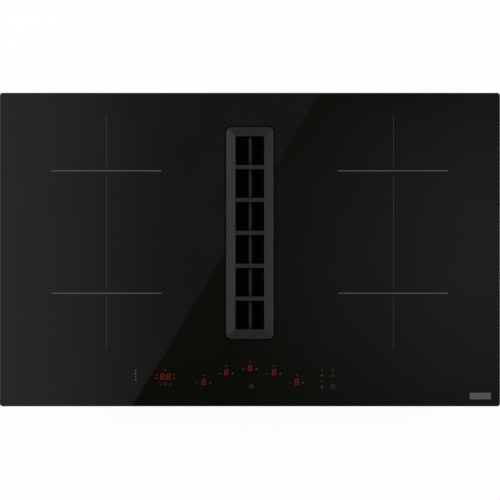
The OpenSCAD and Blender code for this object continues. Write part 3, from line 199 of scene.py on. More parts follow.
def lit_display(name, colour):
    """Dull red light of a segment behind the glass, a little uneven from one end to the other."""
    material, tree, shader = new_surface(name, 0.2)
    shader.inputs["Emission Color"].default_value = (*colour, 1)
    where = place(tree)
    glow = noise(tree, where, 420.0, 2.0)
    feed(tree, shader, "Base Color", ramp(tree, glow, [(0.3, (0.010, 0.0012, 0.0014)),
                                                       (0.7, (0.016, 0.0018, 0.002))]))
    feed(tree, shader, "Emission Strength", spread(tree, glow, 0.85, 1.15))
    return material


def cast_enamel(name, tone_share=1.0, gloss=0.12, corner=0.0):
    """Matt black enamel on cast iron: fine sand grain, soft clouds and slightly paler edges.

    corner is how far out of its inner corners, in metres, ambient occlusion darkens the casting's
    colour: painted shade.
    """
    material, tree, shader = new_surface(name, 0.45, Specular_IOR_Level=gloss)
    where = place(tree)
    cloud = noise(tree, where, 70.0, 4.0)
    edge = spread(tree, add(tree, "NewGeometry").outputs["Pointiness"], 0.0, 0.2, 0.53, 0.63)
    tone = add(tree, "Math", {0: cloud, 1: edge}, operation="ADD").outputs["Value"]
    tones = [(0.3, 0.0127), (0.7, 0.0148), (1.0, 0.0197)]
    colour = ramp(tree, tone, [(at, scaled((level, level, level * 1.01), tone_share))
                               for at, level in tones])
    # Painted shade: the colour is darker where the casting's own walls close over it, as beside the
    # crossbars.
    if corner:
        open_share = add(tree, "AmbientOcclusion", {"Distance": corner}, samples=16,
                         only_local=True).outputs["AO"]
        painted_shade_scale = spread(tree, open_share, low=0.12, high=1.0, start=0.5, end=0.96)
        colour = add(tree, "VectorMath", {0: colour, "Scale": painted_shade_scale},
                     operation="SCALE").outputs["Vector"]
    feed(tree, shader, "Base Color", colour)
    grain = noise(tree, where, 1500.0, 3.0, 0.65)
    feed(tree, shader, "Roughness", spread(tree, cloud, 0.42, 0.48))
    low = relief(tree, shader, noise(tree, where, 160.0, 2.0), 0.02 * MM)
    relief(tree, shader, grain, 0.025 * MM, low)
    return material


def moulded(name, colour, rough=0.5, grain=900.0, depth=0.02, gloss=0.5):
    """Moulded plastic: spark-eroded grain, faint flow clouds and uneven gloss."""
    material, tree, shader = new_surface(name, rough, Specular_IOR_Level=gloss)
    where = place(tree)
    cloud = noise(tree, where, 14.0, 4.0)
    feed(tree, shader, "Base Color", ramp(tree, cloud, [(0.3, scaled(colour, 0.88)),
                                                        (0.7, scaled(colour, 1.12))]))
    fine = noise(tree, where, grain, 2.0, 0.6)
    feed(tree, shader, "Roughness", spread(tree, fine, rough - 0.06, rough + 0.08))
    relief(tree, shader, fine, depth * MM)
    return material


def galvanised(name, colour, spangle=220.0):
    """Zinc-coated sheet: crystals of slightly different tone and gloss, with a rolled grain."""
    material, tree, shader = new_surface(name, 0.36, 1.0)
    where = place(tree)
    warp = add(tree, "TexNoise", {"Vector": where, "Scale": 160.0, "Detail": 2.0})
    shift = add(tree, "VectorMath", {0: warp.outputs["Color"], 1: (0.003, 0.003, 0.003)},
                operation="MULTIPLY").outputs["Vector"]
    moved = add(tree, "VectorMath", {0: where, 1: shift}, operation="ADD").outputs["Vector"]
    crystal = cells(tree, moved, spangle)
    feed(tree, shader, "Base Color", ramp(tree, crystal, [(0.0, scaled(colour, 0.92)),
                                                          (1.0, scaled(colour, 1.05))]))
    feed(tree, shader, "Roughness", spread(tree, crystal, 0.36, 0.44, 0.0, 1.0))
    relief(tree, shader, noise(tree, place(tree, (1, 12, 12)), 220.0), 0.01 * MM)
    return material


def brushed(name, colour, rough=0.3, along=(1, 30, 30), metal=1.0):
    """Brushed or rolled metal: long fine lines along one axis, and a faint cloud of handling."""
    material, tree, shader = new_surface(name, rough, metal)
    lines = noise(tree, place(tree, along), 110.0, 4.0, 0.7)
    cloud = noise(tree, place(tree), 18.0, 3.0)
    feed(tree, shader, "Base Color", ramp(tree, lines, [(0.3, scaled(colour, 0.86)),
                                                        (0.7, scaled(colour, 1.1))]))
    feed(tree, shader, "Roughness", spread(tree, cloud, rough - 0.06, rough + 0.1))
    relief(tree, shader, lines, 0.012 * MM)
    return material


def soft_rubber(name, colour, pores=1200.0, depth=0.03):
    """Rubber, silicone or foam: matt, with fine pores and a dusty bloom."""
    material, tree, shader = new_surface(name, 0.75)
    where = place(tree)
    fine = cells(tree, where, pores)
    bloom = noise(tree, where, 40.0, 4.0)
    feed(tree, shader, "Base Color", ramp(tree, bloom, [(0.3, scaled(colour, 0.8)),
                                                        (0.7, scaled(colour, 1.25))]))
    feed(tree, shader, "Roughness", spread(tree, bloom, 0.66, 0.86))
    relief(tree, shader, fine, depth * MM)
    return material


def wound_copper():
    """Lacquered copper strand, wound in rings: each turn shows its twisted fine wires."""
    material, tree, shader = new_surface("wound_copper", 0.32, 0.9)
    where = place(tree)
    twist = add(tree, "TexWave", {"Vector": where, "Scale": 900.0, "Distortion": 2.5},
                wave_type="BANDS", bands_direction="DIAGONAL").outputs["Fac"]
    feed(tree, shader, "Base Color", ramp(tree, twist, [(0.1, (0.30, 0.10, 0.035)),
                                                        (0.9, (0.72, 0.32, 0.15))]))
    feed(tree, shader, "Roughness", spread(tree, twist, 0.26, 0.42, 0.0, 1.0))
    relief(tree, shader, twist, 0.15 * MM)
    return material


def sintered(name, colour, speck=1400.0, rough=0.62):
    """Pressed ceramic or ferrite, with mineral specks."""
    material, tree, shader = new_surface(name, rough)
    where = place(tree)
    specks = cells(tree, where, speck)
    feed(tree, shader, "Base Color", ramp(tree, specks, [(0.0, scaled(colour, 0.75)),
                                                         (0.85, scaled(colour, 1.05)),
                                                         (1.0, scaled(colour, 1.5))]))
    feed(tree, shader, "Roughness", spread(tree, noise(tree, where, 200.0), rough - 0.08,
                                           rough + 0.1))
    relief(tree, shader, specks, 0.01 * MM)
    return material


def pressed_mica():
    """Mica flakes pressed into a sheet, pale gold and silver."""
    material, tree, shader = new_surface("pressed_mica", 0.4)
    where = place(tree, (1, 1.6, 1))
    flakes = cells(tree, where, 260.0)
    feed(tree, shader, "Base Color", ramp(tree, flakes, [(0.0, (0.42, 0.37, 0.26)),
                                                         (0.6, (0.56, 0.52, 0.42)),
                                                         (1.0, (0.7, 0.68, 0.6))]))
    feed(tree, shader, "Roughness", spread(tree, flakes, 0.28, 0.6, 0.0, 1.0))
    relief(tree, shader, flakes, 0.02 * MM)
    return material


def circuit_board():
    """Green solder mask over copper tracks, with tinned pads."""
    material, tree, shader = new_surface("circuit_board", 0.28)
    where = place(tree)
    tracks = add(tree, "TexBrick", {"Vector": where, "Scale": 70.0, "Mortar Size": 0.012,
                                    "Color1": (0, 0, 0, 1), "Color2": (0.25, 0.25, 0.25, 1),
                                    "Mortar": (1, 1, 1, 1)})
    line = add(tree, "SeparateColor", {"Color": tracks.outputs["Color"]}).outputs["Red"]
    feed(tree, shader, "Base Color", ramp(tree, line, [(0.0, (0.008, 0.07, 0.03)),
                                                       (0.3, (0.012, 0.1, 0.045)),
                                                       (0.9, (0.03, 0.2, 0.09))]))
    feed(tree, shader, "Roughness", spread(tree, noise(tree, where, 80.0), 0.22, 0.36))
    relief(tree, shader, line, 0.03 * MM)
    return material


def mixed_bodies():
    """Component bodies in dark blue, black and ochre, one tone for each block."""
    material, tree, shader = new_surface("mixed_bodies", 0.4)
    pick = cells(tree, place(tree, (1, 1, 0.01)), 18.0)
    feed(tree, shader, "Base Color", ramp(tree, pick, [(0.0, (0.012, 0.016, 0.05)),
                                                       (0.4, (0.02, 0.02, 0.022)),
                                                       (0.75, (0.35, 0.2, 0.03)),
                                                       (1.0, (0.05, 0.05, 0.055))]))
    fine = noise(tree, place(tree), 700.0)
    feed(tree, shader, "Roughness", spread(tree, fine, 0.32, 0.5))
    relief(tree, shader, fine, 0.01 * MM)
    return material


def painted(name, colour, rough=0.4, gloss=0.5):
    """Baked paint on metal, with a faint orange peel."""
    material, tree, shader = new_surface(name, rough, Specular_IOR_Level=gloss)
    where = place(tree)
    cloud = noise(tree, where, 22.0, 4.0)
    feed(tree, shader, "Base Color", ramp(tree, cloud, [(0.3, scaled(colour, 0.85)),
                                                        (0.7, scaled(colour, 1.15))]))
    feed(tree, shader, "Roughness", spread(tree, cloud, rough - 0.05, rough + 0.08))
    relief(tree, shader, noise(tree, where, 420.0, 2.0), 0.025 * MM)
    return material


M = {
    "glass": black_glass(),
    "glass_edge": ground_edge(),
    "line_print": printed("line_print", (0.055, 0.059, 0.062)),
    "fine_print": printed("fine_print", (0.021, 0.022, 0.022)),
    "legend_print": printed("legend_print", (0.04, 0.041, 0.043)),
    "plate_print": printed("plate_print", (0.058, 0.06, 0.064)),
    "display": lit_display("lit_display", (0.27, 0.008, 0.0095)),
    "display_dim": lit_display("lit_display_dim", (0.23, 0.0075, 0.0085)),
    "cast": cast_enamel("cast_enamel"),
    # The rib's enamel is darker, painted shade, and its ridge paler, a painted highlight.
    "rib_painted_shade": cast_enamel("rib_enamel_painted_shade", tone_share=0.45, gloss=0.06, corner=12 * MM),
    "ridge_painted_highlight": cast_enamel("ridge_enamel_painted_highlight", tone_share=1.3, corner=12 * MM),
    "black_plastic": moulded("black_plastic", (0.008, 0.008, 0.0085), 0.55),
    # Black coating, made far darker and duller than real paint so that the grille's openings read as
    # deep shade: partly painted shade.
    "filter_black_painted_shade": painted("filter_black_painted_shade", (0.0007, 0.0007, 0.00072), 0.55, 0.02),
    # Black plastic, made far darker and duller than real plastic so that the gap round the grille
    # reads as shade: partly painted shade.
    "collar": moulded("collar_plastic_painted_shade", (0.0007, 0.0007, 0.00075), 0.7, gloss=0.008),
    "dark_plastic": moulded("dark_plastic", (0.045, 0.046, 0.048), 0.5),
    "grey_plastic": moulded("grey_plastic", (0.3, 0.3, 0.3), 0.45),
    "pale_plastic": moulded("pale_plastic", (0.6, 0.6, 0.58), 0.45),
    "rubber": soft_rubber("rubber", (0.018, 0.018, 0.018)),
    "foam": soft_rubber("foam", (0.035, 0.035, 0.036), 600.0, 0.08),
    "silicone": soft_rubber("silicone", (0.05, 0.05, 0.052), 2000.0, 0.01),
    "sheet": galvanised("zinc_sheet", (0.56, 0.575, 0.59)),
    "stainless": brushed("stainless", (0.55, 0.55, 0.56), 0.28),
    "tank": brushed("tank_steel", (0.58, 0.585, 0.59), 0.36, (30, 1, 30)),
    "screw": brushed("screw_steel", (0.5, 0.51, 0.52), 0.3, (8, 8, 8)),
    "aluminium": brushed("aluminium", (0.72, 0.73, 0.74), 0.38, (30, 1, 30)),
    "copper": wound_copper(),
    "ferrite": sintered("ferrite", (0.03, 0.03, 0.034)),
    "ceramic": sintered("sensor_ceramic", (0.66, 0.66, 0.63), 1800.0, 0.5),
    "mica": pressed_mica(),
    "board": circuit_board(),
    "bodies": mixed_bodies(),
    "window": moulded("display_window", (0.012, 0.009, 0.009), 0.16, 1500.0, 0.004),
    "motor": painted("motor_paint", (0.12, 0.122, 0.128)),
}

NODE_MATERIALS = {
    "sheet": ["casing_tray", "casing_partitions", "glass_brackets"],
    "stainless": ["clamp_arm_front_left", "clamp_arm_front_right", "clamp_arm_rear_left",
                  "clamp_arm_rear_right"],
    "filter_black_painted_shade": ["filter_frame", "filter_baffles", "filter_handle"],
    "tank": ["overflow_tank"],
    "screw": ["casing_screws", "clamp_screws", "plenum_screws", "blower_screws", "motor_screws",
              "drive_screws"],
    "aluminium": ["coil_plate_left", "coil_plate_right", "heatsinks"],
    "collar": ["vent_collar"],
    "black_plastic": ["fan_frames", "impeller"],
    "dark_plastic": ["coil_carriers", "fan_rotor_left", "fan_rotor_right", "terminal_cover",
                     "plenum", "plenum_top", "inlet_ring", "blower_scroll", "blower_cover",
                     "drive_box"],
    "grey_plastic": ["damper_flap"],
    "pale_plastic": ["board_standoffs", "control_holder", "mains_terminal", "outlet_duct"],
    "rubber": ["collar_gasket", "plenum_gasket", "cable_grommet", "duct_sleeve"],
    "foam": ["perimeter_seal", "well_seal"],
    "silicone": ["grille_pads", "touch_pads"],
    "copper": ["coils"],
    "ferrite": ["ferrite_bars"],
    "ceramic": ["temperature_sensors"],
    "mica": ["mica_discs"],
    "board": ["power_boards", "control_board"],
    "bodies": ["board_components"],
    "window": ["display_modules"],
    "motor": ["fan_motor"],
    "glass": ["glass_top"],
    "cast": ["vent_grille"],
}


def dress_nodes():
    """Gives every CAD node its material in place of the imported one."""
    for key, names in NODE_MATERIALS.items():
        for name in names:
            data = nodes[name].data
            data.materials.clear()
            data.materials.append(M[key])
            for face in data.polygons:
                face.material_index = 0


# Mesh helpers

SHARP = 13.0                 # edges that turn by more degrees than this stay crisp
FLAT_WEIGHT = 90             # how strongly large faces set the shading


def finish_mesh(bm, name, material, body):
    """Turns a bmesh into a piece that rides on a body: flat faces stay flat, roundings are soft."""
    bmesh.ops.remove_doubles(bm, verts=bm.verts, dist=1e-7)
    bmesh.ops.recalc_face_normals(bm, faces=bm.faces)
    data = bpy.data.meshes.new(name)
    bm.to_mesh(data)
    bm.free()
    for face in data.polygons:
        face.use_smooth = True
    data.set_sharp_from_angle(angle=math.radians(SHARP))
    data.materials.append(material)
    piece = bpy.data.objects.new(name, data)
    bpy.context.scene.collection.objects.link(piece)
    flat = piece.modifiers.new("flat_faces", "WEIGHTED_NORMAL")
    flat.mode, flat.weight, flat.keep_sharp = "FACE_AREA", FLAT_WEIGHT, True
    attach(piece, body)
    return piece


def rounded(half_x, half_y, radius, z, steps, centre=(0.0, 0.0), shares=()):
    """Points of a rounded rectangle, anticlockwise, with extra points along its sides in Y.

    shares are the places of those points, from -1 to 1 of the straight part's half length.
    """
    flat_x, flat_y = half_x - radius, half_y - radius
    points = [(half_x, s * flat_y) for s in shares]
    for index, (sx, sy) in enumerate([(1, 1), (-1, 1), (-1, -1), (1, -1)]):
        for k in range(steps + 1):
            angle = math.radians(90 * (index + k / steps))
            points.append((sx * flat_x + radius * math.cos(angle),
                           sy * flat_y + radius * math.sin(angle)))
        if (sx, sy) == (-1, 1):
            points += [(-half_x, -s * flat_y) for s in shares]
    return [Vector((centre[0] + x, centre[1] + y, z)) for x, y in points]


def loft(bm, rings, closed=False):
    """Joins rings of equally many points with faces; closed also joins the last to the first."""
    made = [[bm.verts.new(p) for p in ring] for ring in rings]
    pairs = list(zip(made, made[1:])) + ([(made[-1], made[0])] if closed else [])
    for low, high in pairs:
        count = len(low)
        for i in range(count):
            j = (i + 1) % count
            bm.faces.new((low[i], low[j], high[j], high[i]))
    return made


def prism(bm, outline, z0, z1):
    """Adds a flat piece with the given outline."""
    low = [bm.verts.new((x, y, z0)) for x, y in outline]
    high = [bm.verts.new((x, y, z1)) for x, y in outline]
    bm.faces.new(low[::-1])
    bm.faces.new(high)
    for i in range(len(low)):
        j = (i + 1) % len(low)
        bm.faces.new((low[i], low[j], high[j], high[i]))


def arc(radius, steps, start, end):
    """Points across and up along an arc, between two angles in degrees."""
    for k in range(steps + 1):
        angle = math.radians(start + (end - start) * k / steps)
        yield radius * math.cos(angle), radius * math.sin(angle)


# Glass

GLASS_CORNER = 5 * MM        # radius of the sheet's corners
GLASS_BEVEL = 0.9 * MM       # ground bevel round its upper edge
BEVEL_SOFT = 0.15 * MM       # rounding where the bevel starts and ends
GLASS_ARRIS = 0.4 * MM       # broken edge round the underside
VENT_MARGIN = 1.62 * MM      # from the grille's outline to the edge of the vent's opening
VENT_HALF_X, VENT_HALF_Y = GRILLE_HALF_X + VENT_MARGIN, GRILLE_HALF_Y + VENT_MARGIN
VENT_CORNER = 10.2 * MM
VENT_BEVEL = 0.08 * MM
CORNER_STEPS = 16


def make_glass():
    """The glass sheet with its ground outer bevel and the opening for the vent."""
    low, high = GLASS_LOW, GLASS_HIGH
    half_x, half_y = high.x, high.y
    bm = bmesh.new()

    def outer(inset, z):
        return rounded(half_x - inset, half_y - inset, GLASS_CORNER - inset, z, CORNER_STEPS)

    def inner(grow, z):
        return rounded(VENT_HALF_X + grow, VENT_HALF_Y + grow, VENT_CORNER + grow, z,
                       CORNER_STEPS, (0, COLLAR_MIDDLE))

    slight = BEVEL_SOFT * 0.3
    rings = [
        outer(GLASS_ARRIS, low.z), outer(GLASS_ARRIS / 4, low.z + GLASS_ARRIS / 4),
        outer(0, low.z + GLASS_ARRIS), outer(0, high.z - GLASS_BEVEL - BEVEL_SOFT),
        outer(slight, high.z - GLASS_BEVEL), outer(GLASS_BEVEL - slight, high.z - slight),
        outer(GLASS_BEVEL + BEVEL_SOFT, high.z), inner(VENT_BEVEL, high.z),
        inner(0, high.z - VENT_BEVEL), inner(0, low.z),
    ]
    loft(bm, rings, closed=True)
    piece = finish_mesh(bm, "glass_sheet", M["glass"], "hob")
    piece.data.materials.append(M["glass_edge"])
    rim = GLASS_BEVEL * 1.1
    for face in piece.data.polygons:
        x, y = face.center.x, face.center.y
        if abs(x) > half_x - rim or abs(y) > half_y - rim:
            face.material_index = 1
    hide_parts("glass_top")


# Vent grille

CELL_COUNT = 6
OPEN_HALF_X = 23.5 * MM      # half width of the openings
OPEN_HALF_Y = 160.0 * MM     # half length over all openings
OPEN_BACK = 0.15 * MM        # the openings lie this far behind the grille's middle
OPEN_MIDDLE = GRILLE_MIDDLE + OPEN_BACK
OPEN_CORNER = 0.5 * MM
BAR = 7.1 * MM               # width of a crossbar
BAR_FILLET = 0.825 * MM      # rounding along the crossbars
CELL = (2 * OPEN_HALF_Y - (CELL_COUNT - 1) * BAR) / CELL_COUNT
PITCH = CELL + BAR
BARS = [-OPEN_HALF_Y + PITCH * i - BAR / 2 for i in range(1, CELL_COUNT)]

GRILLE_CORNER = 9.2 * MM
EDGE_RADIUS = 0.8 * MM       # rounding of the outer upper edge
EDGE_Z = 7.5 * MM            # height at which the slope meets the outer wall
EDGE_WALL = 4.45 * MM        # height of the outer wall
UNDER = EDGE_Z - EDGE_WALL
UNDER_EDGE = 0.6 * MM        # rounding of the outer lower edge
CELL_EDGE = 0.5 * MM         # chamfer of the openings' lower edge
SHRINK = 0.25 * MM           # the casting's sides stay this far inside its box, its ends half
LIP = 1.0 * MM               # flat lip round the openings
LIP_X, LIP_Y = OPEN_HALF_X + LIP, OPEN_HALF_Y + LIP
TONE_SHARES = (0.1, 0.9)     # extra rings on the slope, which keep the paler edges narrow
GRILLE_STEPS = 8

RIB_HALF = 3.3 * MM
RIB_HEIGHT = 6.0 * MM
RIB_SUNK = 2 * MM            # how far the rib's ends reach into the border
# The rib's section as shares of its half width and its height: steep right, sloping left
RIB_SECTION = [(1, 0), (1, 0.8), (0.88, 0.93), (0.62, 0.99), (0.2, 1), (-0.3, 0.93),
               (-0.7, 0.76), (-0.95, 0.52), (-1, 0.3), (-1, 0)]
PAINTED_HIGHLIGHT_SHARE = 0.7            # the ridge's painted highlight, a paler copy of the enamel, ends at this share of the half width


def grille_border(bm):
    """The sloping border, from the underside round the outer edge and up to the lip."""
    half_x, half_y = GRILLE_HALF_X - SHRINK, GRILLE_HALF_Y - SHRINK / 2
    shares = [y / LIP_Y for y in BARS]
    top = GRILLE_HIGH.z

    def outline(inset, z):
        return rounded(half_x - inset, half_y - inset, GRILLE_CORNER - inset, z, GRILLE_STEPS,
                       (0, GRILLE_MIDDLE), shares)

    def lip(z):
        return rounded(LIP_X, LIP_Y, 0.0, z, GRILLE_STEPS, (0, OPEN_MIDDLE), shares)

    slope = math.atan2(top - EDGE_Z, half_x - LIP_X)
    centre_z = EDGE_Z + EDGE_RADIUS * math.tan(slope) - EDGE_RADIUS / math.cos(slope)
    rings = [lip(UNDER), outline(UNDER_EDGE, UNDER),
             outline(UNDER_EDGE * 0.3, UNDER + UNDER_EDGE * 0.3), outline(0, UNDER + UNDER_EDGE)]
    for across, up in arc(EDGE_RADIUS, 6, 0.0, 90.0 - math.degrees(slope)):
        rings.append(outline(EDGE_RADIUS - across, centre_z + up))
    outer, inner = rings[-1], lip(top)
    for share in TONE_SHARES:
        rings.append([a.lerp(b, share) for a, b in zip(outer, inner)])
    rings.append(inner)
    loft(bm, rings)


def grille_cell(bm, index):
    """One opening with its rounded rim, out to the middles of the crossbars beside it."""
    top = GRILLE_HIGH.z
    first = -LIP_Y if index == 0 else BARS[index - 1]
    last = LIP_Y if index == CELL_COUNT - 1 else BARS[index]
    centre = -OPEN_HALF_Y + PITCH * index + CELL / 2

    def block(z):
        return rounded(LIP_X, (last - first) / 2, 0.0, z, GRILLE_STEPS,
                       (0, OPEN_MIDDLE + (first + last) / 2))

    def hole(grow, z):
        return rounded(OPEN_HALF_X + grow, CELL / 2 + grow, OPEN_CORNER + grow, z, GRILLE_STEPS,
                       (0, OPEN_MIDDLE + centre))

    rings = [block(top)]
    for across, up in arc(BAR_FILLET, 8, 90.0, 0.0):
        rings.append(hole(BAR_FILLET - across, top - BAR_FILLET + up))
    rings += [hole(0, UNDER + CELL_EDGE), hole(CELL_EDGE, UNDER), block(UNDER)]
    loft(bm, rings)


def grille_rib(bm):
    """The long rib below the crossbars, which crosses all the openings."""
    ends = [OPEN_MIDDLE - OPEN_HALF_Y - RIB_SUNK, OPEN_MIDDLE + OPEN_HALF_Y + RIB_SUNK]
    rings = [[Vector((x * RIB_HALF, y, GRILLE_LOW.z + z * RIB_HEIGHT)) for x, z in RIB_SECTION]
             for y in ends]
    for cap in loft(bm, rings):
        bm.faces.new(cap)


def paint_rib(piece):
    """Gives the rib's faces a darker copy of the enamel, painted shade, and a paler copy along its
    ridge, a painted highlight.
    """
    piece.data.materials.append(M["rib_painted_shade"])
    piece.data.materials.append(M["ridge_painted_highlight"])
    slack = 0.01 * MM
    for face in piece.data.polygons:
        corners = [piece.data.vertices[i].co for i in face.vertices]
        within = max(abs(corner.x) for corner in corners) <= RIB_HALF + slack
        if within and face.center.z < GRILLE_LOW.z + RIB_HEIGHT + slack:
            ridge = 0 < face.center.x < RIB_HALF * PAINTED_HIGHLIGHT_SHARE
            face.material_index = 2 if ridge else 1


def make_grille():
    """The cast grille: sloping border, six openings between rounded crossbars, and the long rib."""
    bm = bmesh.new()
    grille_border(bm)
    for index in range(CELL_COUNT):
        grille_cell(bm, index)
    grille_rib(bm)
    piece = finish_mesh(bm, "grille_casting", M["cast"], "grille")
    paint_rib(piece)
    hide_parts("vent_grille")


# Marks on the glass, in millimetres

PRINT_THICK = 0.03


def bar_shape(x, y, width, height):
    """Rectangle round a centre."""
    return [(x - width / 2, y - height / 2), (x + width / 2, y - height / 2),
            (x + width / 2, y + height / 2), (x - width / 2, y + height / 2)]


def dot_shape(x, y, radius, corners=14):
    """Filled circle, as a polygon."""
    return [(x + radius * math.cos(2 * math.pi * k / corners),
             y + radius * math.sin(2 * math.pi * k / corners)) for k in range(corners)]


def arc_shapes(x, y, radius, stroke, start=0, end=360, step=15):
    """A ring or part of one, as short four-sided pieces between two angles in degrees."""
    count = max(1, round((end - start) / step))
    shapes = []
    for k in range(count):
        a, b = (math.radians(start + (end - start) * (k + d) / count) for d in (0, 1))
        inner, outer = radius - stroke / 2, radius + stroke / 2
        shapes.append([(x + inner * math.cos(a), y + inner * math.sin(a)),
                       (x + outer * math.cos(a), y + outer * math.sin(a)),
                       (x + outer * math.cos(b), y + outer * math.sin(b)),
                       (x + inner * math.cos(b), y + inner * math.sin(b))])
    return shapes


def plus_shapes(x, y, size, stroke):
    """A plus sign as one long bar and two short ones."""
    up, length = (size + stroke) / 4, (size - stroke) / 2
    return [bar_shape(x, y, size, stroke), bar_shape(x, y + up, stroke, length),
            bar_shape(x, y - up, stroke, length)]


def turned(points, x, y, degrees=0.0):
    """Points turned about the origin and moved to a place."""
    c, d = math.cos(math.radians(degrees)), math.sin(math.radians(degrees))
    return [(x + c * px - d * py, y + d * px + c * py) for px, py in points]


def line_shape(x0, y0, x1, y1, stroke):
    """A straight stroke between two points."""
    length = math.hypot(x1 - x0, y1 - y0)
    return turned(bar_shape(0, 0, length, stroke), (x0 + x1) / 2, (y0 + y1) / 2,
                  math.degrees(math.atan2(y1 - y0, x1 - x0)))


def mark(name, shapes, material):
    """Makes one piece of flat marks on the glass, from their outlines."""
    bm = bmesh.new()
    for shape in shapes:
        prism(bm, [(x * MM, y * MM) for x, y in shape], GLASS_TOP,
              GLASS_TOP + PRINT_THICK * MM)
    finish_mesh(bm, name, material, "hob")


ZONE_LEFT, ZONE_RIGHT = -237.9, 238.2
ZONE_REAR, ZONE_FRONT = 130.6, -72.35
ZONE_REACH = 91.4            # half length of a zone's cross from front to rear
ACROSS_REACH = 90.9          # and from left to right
ZONE_GAP = 6.8               # bare length beside each crossing
ACROSS_STROKE, ALONG_STROKE = 1.64, 0.77


def make_zone_marks():
    """Two tall pairs of crosses that show the middles and the reach of the four zones."""
    wide, fine = [], []
    for x in (ZONE_LEFT, ZONE_RIGHT):
        for y in (ZONE_REAR, ZONE_FRONT):
            wide.append(bar_shape(x, y, 2 * ACROSS_REACH, ACROSS_STROKE))
        spans = [(ZONE_REAR + ZONE_REACH, ZONE_REAR + ZONE_GAP),
                 (ZONE_REAR - ZONE_GAP, ZONE_FRONT + ZONE_GAP),
                 (ZONE_FRONT - ZONE_GAP, ZONE_FRONT - ZONE_REACH)]
        for y1, y0 in spans:
            fine.append(bar_shape(x, (y0 + y1) / 2, ALONG_STROKE, y1 - y0))
    mark("zone_lines_across", wide, M["line_print"])
    mark("zone_lines_along", fine, M["fine_print"])


# The digits of the four zones and, between them, of the extractor: X, Y, and how far in Y their
# minus and plus stand from that
ZONE_KEYS = [(-76.85, -219.25, -1.35), (-39.3, -203.35, -2.1), (0.15, -196.25, -1.8),
             (39.9, -203.45, -2.2), (77.45, -219.25, -1.35)]
SLANT = 0.16                 # lean of the digits
DIGIT_W, DIGIT_H = 5.1, 8.6  # between the middles of the segments
STROKE = 0.72
POINT_OUT, POINT_R = 1.2, 0.4    # a digit's point, to the right of its lower corner
DOT_UP = 10.5                # from a digit to the dot above it
DOT_R = 0.9
WIDE_DOT_R = 0.972
LEFT_DOT_R = 1.152
TIMER_X, TIMER_Y = -140.3, -210.5
TIMER_DIGIT_OUT = 5.0        # from the timer's middle to each of its digits
TIMER_DOT = (14.3, 2.95)     # from the timer's middle to the dots beside it
TIMER_DOT_UP = 10.6
LEFT_DOTS = [(-189.6, -200.05), (-189.6, -210.85)]
KEY_LAMPS = [(119.4, -199.6), (119.4, -218.1), (137.8, -199.6)]


def segment(reach):
    """One lit segment along X, with pointed ends."""
    half = STROKE / 2
    return [(-reach, 0), (half - reach, -half), (reach - half, -half), (reach, 0),
            (reach - half, half), (half - reach, half)]


def digit_shapes(x, y):
    """The seven lit segments of an 8, leaning to the right, with its point."""
    flat, tall = segment(DIGIT_W / 2 - STROKE * 0.35), segment(DIGIT_H / 4 - STROKE * 0.3)
    upright = [turned(flat, 0, level) for level in (-DIGIT_H / 2, 0, DIGIT_H / 2)]
    for side in (-DIGIT_W / 2, DIGIT_W / 2):
        upright += [turned(tall, side, middle, 90) for middle in (-DIGIT_H / 4, DIGIT_H / 4)]
    shapes = [[(x + px + SLANT * py, y + py) for px, py in shape] for shape in upright]
    shapes.append(dot_shape(x + DIGIT_W / 2 + POINT_OUT, y - DIGIT_H / 2, POINT_R, 10))
    return shapes


def make_displays():
    """Red digits and dots, which on the real cooktop shine through the glass."""
    shapes = []
    for x, y, _ in ZONE_KEYS:
        shapes += digit_shapes(x, y)
        shapes.append(dot_shape(x, y + DOT_UP, DOT_R))
    for side in (-1, 1):
        shapes += digit_shapes(TIMER_X + side * TIMER_DIGIT_OUT, TIMER_Y)
        for y in (TIMER_Y + TIMER_DOT[1], TIMER_Y - TIMER_DOT[1]):
            shapes.append(dot_shape(TIMER_X + side * TIMER_DOT[0], y, WIDE_DOT_R))
    shapes.append(dot_shape(TIMER_X, TIMER_Y + TIMER_DOT_UP, WIDE_DOT_R))
    shapes += [dot_shape(x, y, LEFT_DOT_R) for x, y in LEFT_DOTS]
    mark("lit_digits", shapes, M["display"])
    lamps = [dot_shape(x, y, WIDE_DOT_R) for x, y in KEY_LAMPS]
    mark("key_lamps", lamps, M["display_dim"])


SIGN_REACH = 10.65           # from a digit to its minus and plus
SIGN_SIZE, SIGN_STROKE = 4.3, 0.52
PLUS_SIZE = 3.9
FINE_SIZE, FINE_STROKE = 4.0, 0.4
RING_STROKE = 0.46


def clock_sign(x, y):
    """A clock between a fine minus and a fine plus."""
    reach, radius, button_up = 8.4, 1.8, 2.5
    return [bar_shape(x - reach, y, FINE_SIZE * 0.8, FINE_STROKE * 0.7),
            *plus_shapes(x + reach, y, FINE_SIZE, FINE_STROKE),
            *arc_shapes(x, y, radius, RING_STROKE, step=30),
            bar_shape(x, y + button_up, FINE_STROKE, 0.9)]


def hourglass_sign(x, y):
    """Two cups that meet at their narrow ends."""
    cup = [(-2.2, 2.2), (-0.6, 0.05), (0.6, 0.05), (2.2, 2.2)]
    return [turned(cup, x, y), turned(cup, x, y, 180)]


def bell_sign(x, y):
    """A bell with a wide mouth."""
    return [turned([(-2.1, -1.9), (2.1, -1.9), (1.1, -0.7), (0.6, 1.9), (-0.6, 1.9),
                    (-1.1, -0.7)], x, y)]


def fan_sign(x, y):
    """A three-bladed fan in a ring that is open at the bottom."""
    radius, hub = 3.35, 1.05
    blade = [(0.0, 0.1), (0.7, 0.9), (0.4, 1.9), (-0.5, 1.7)]
    return [*arc_shapes(x, y, radius, RING_STROKE, -50, 230), dot_shape(x, y, hub, 12),
            *[turned(blade, x, y, turn) for turn in (0, 120, 240)]]


def stop_sign(x, y):
    """A filled square."""
    return [bar_shape(x, y, 2.1, 2.1)]


def lock_sign(x, y):
    """A padlock: a body with a shackle."""
    radius, width, height = 1.25, 3.1, 1.45
    return [bar_shape(x - 0.1, y - 0.75, width, height),
            *arc_shapes(x, y, radius, FINE_STROKE * 1.5, 0, 180, 30)]


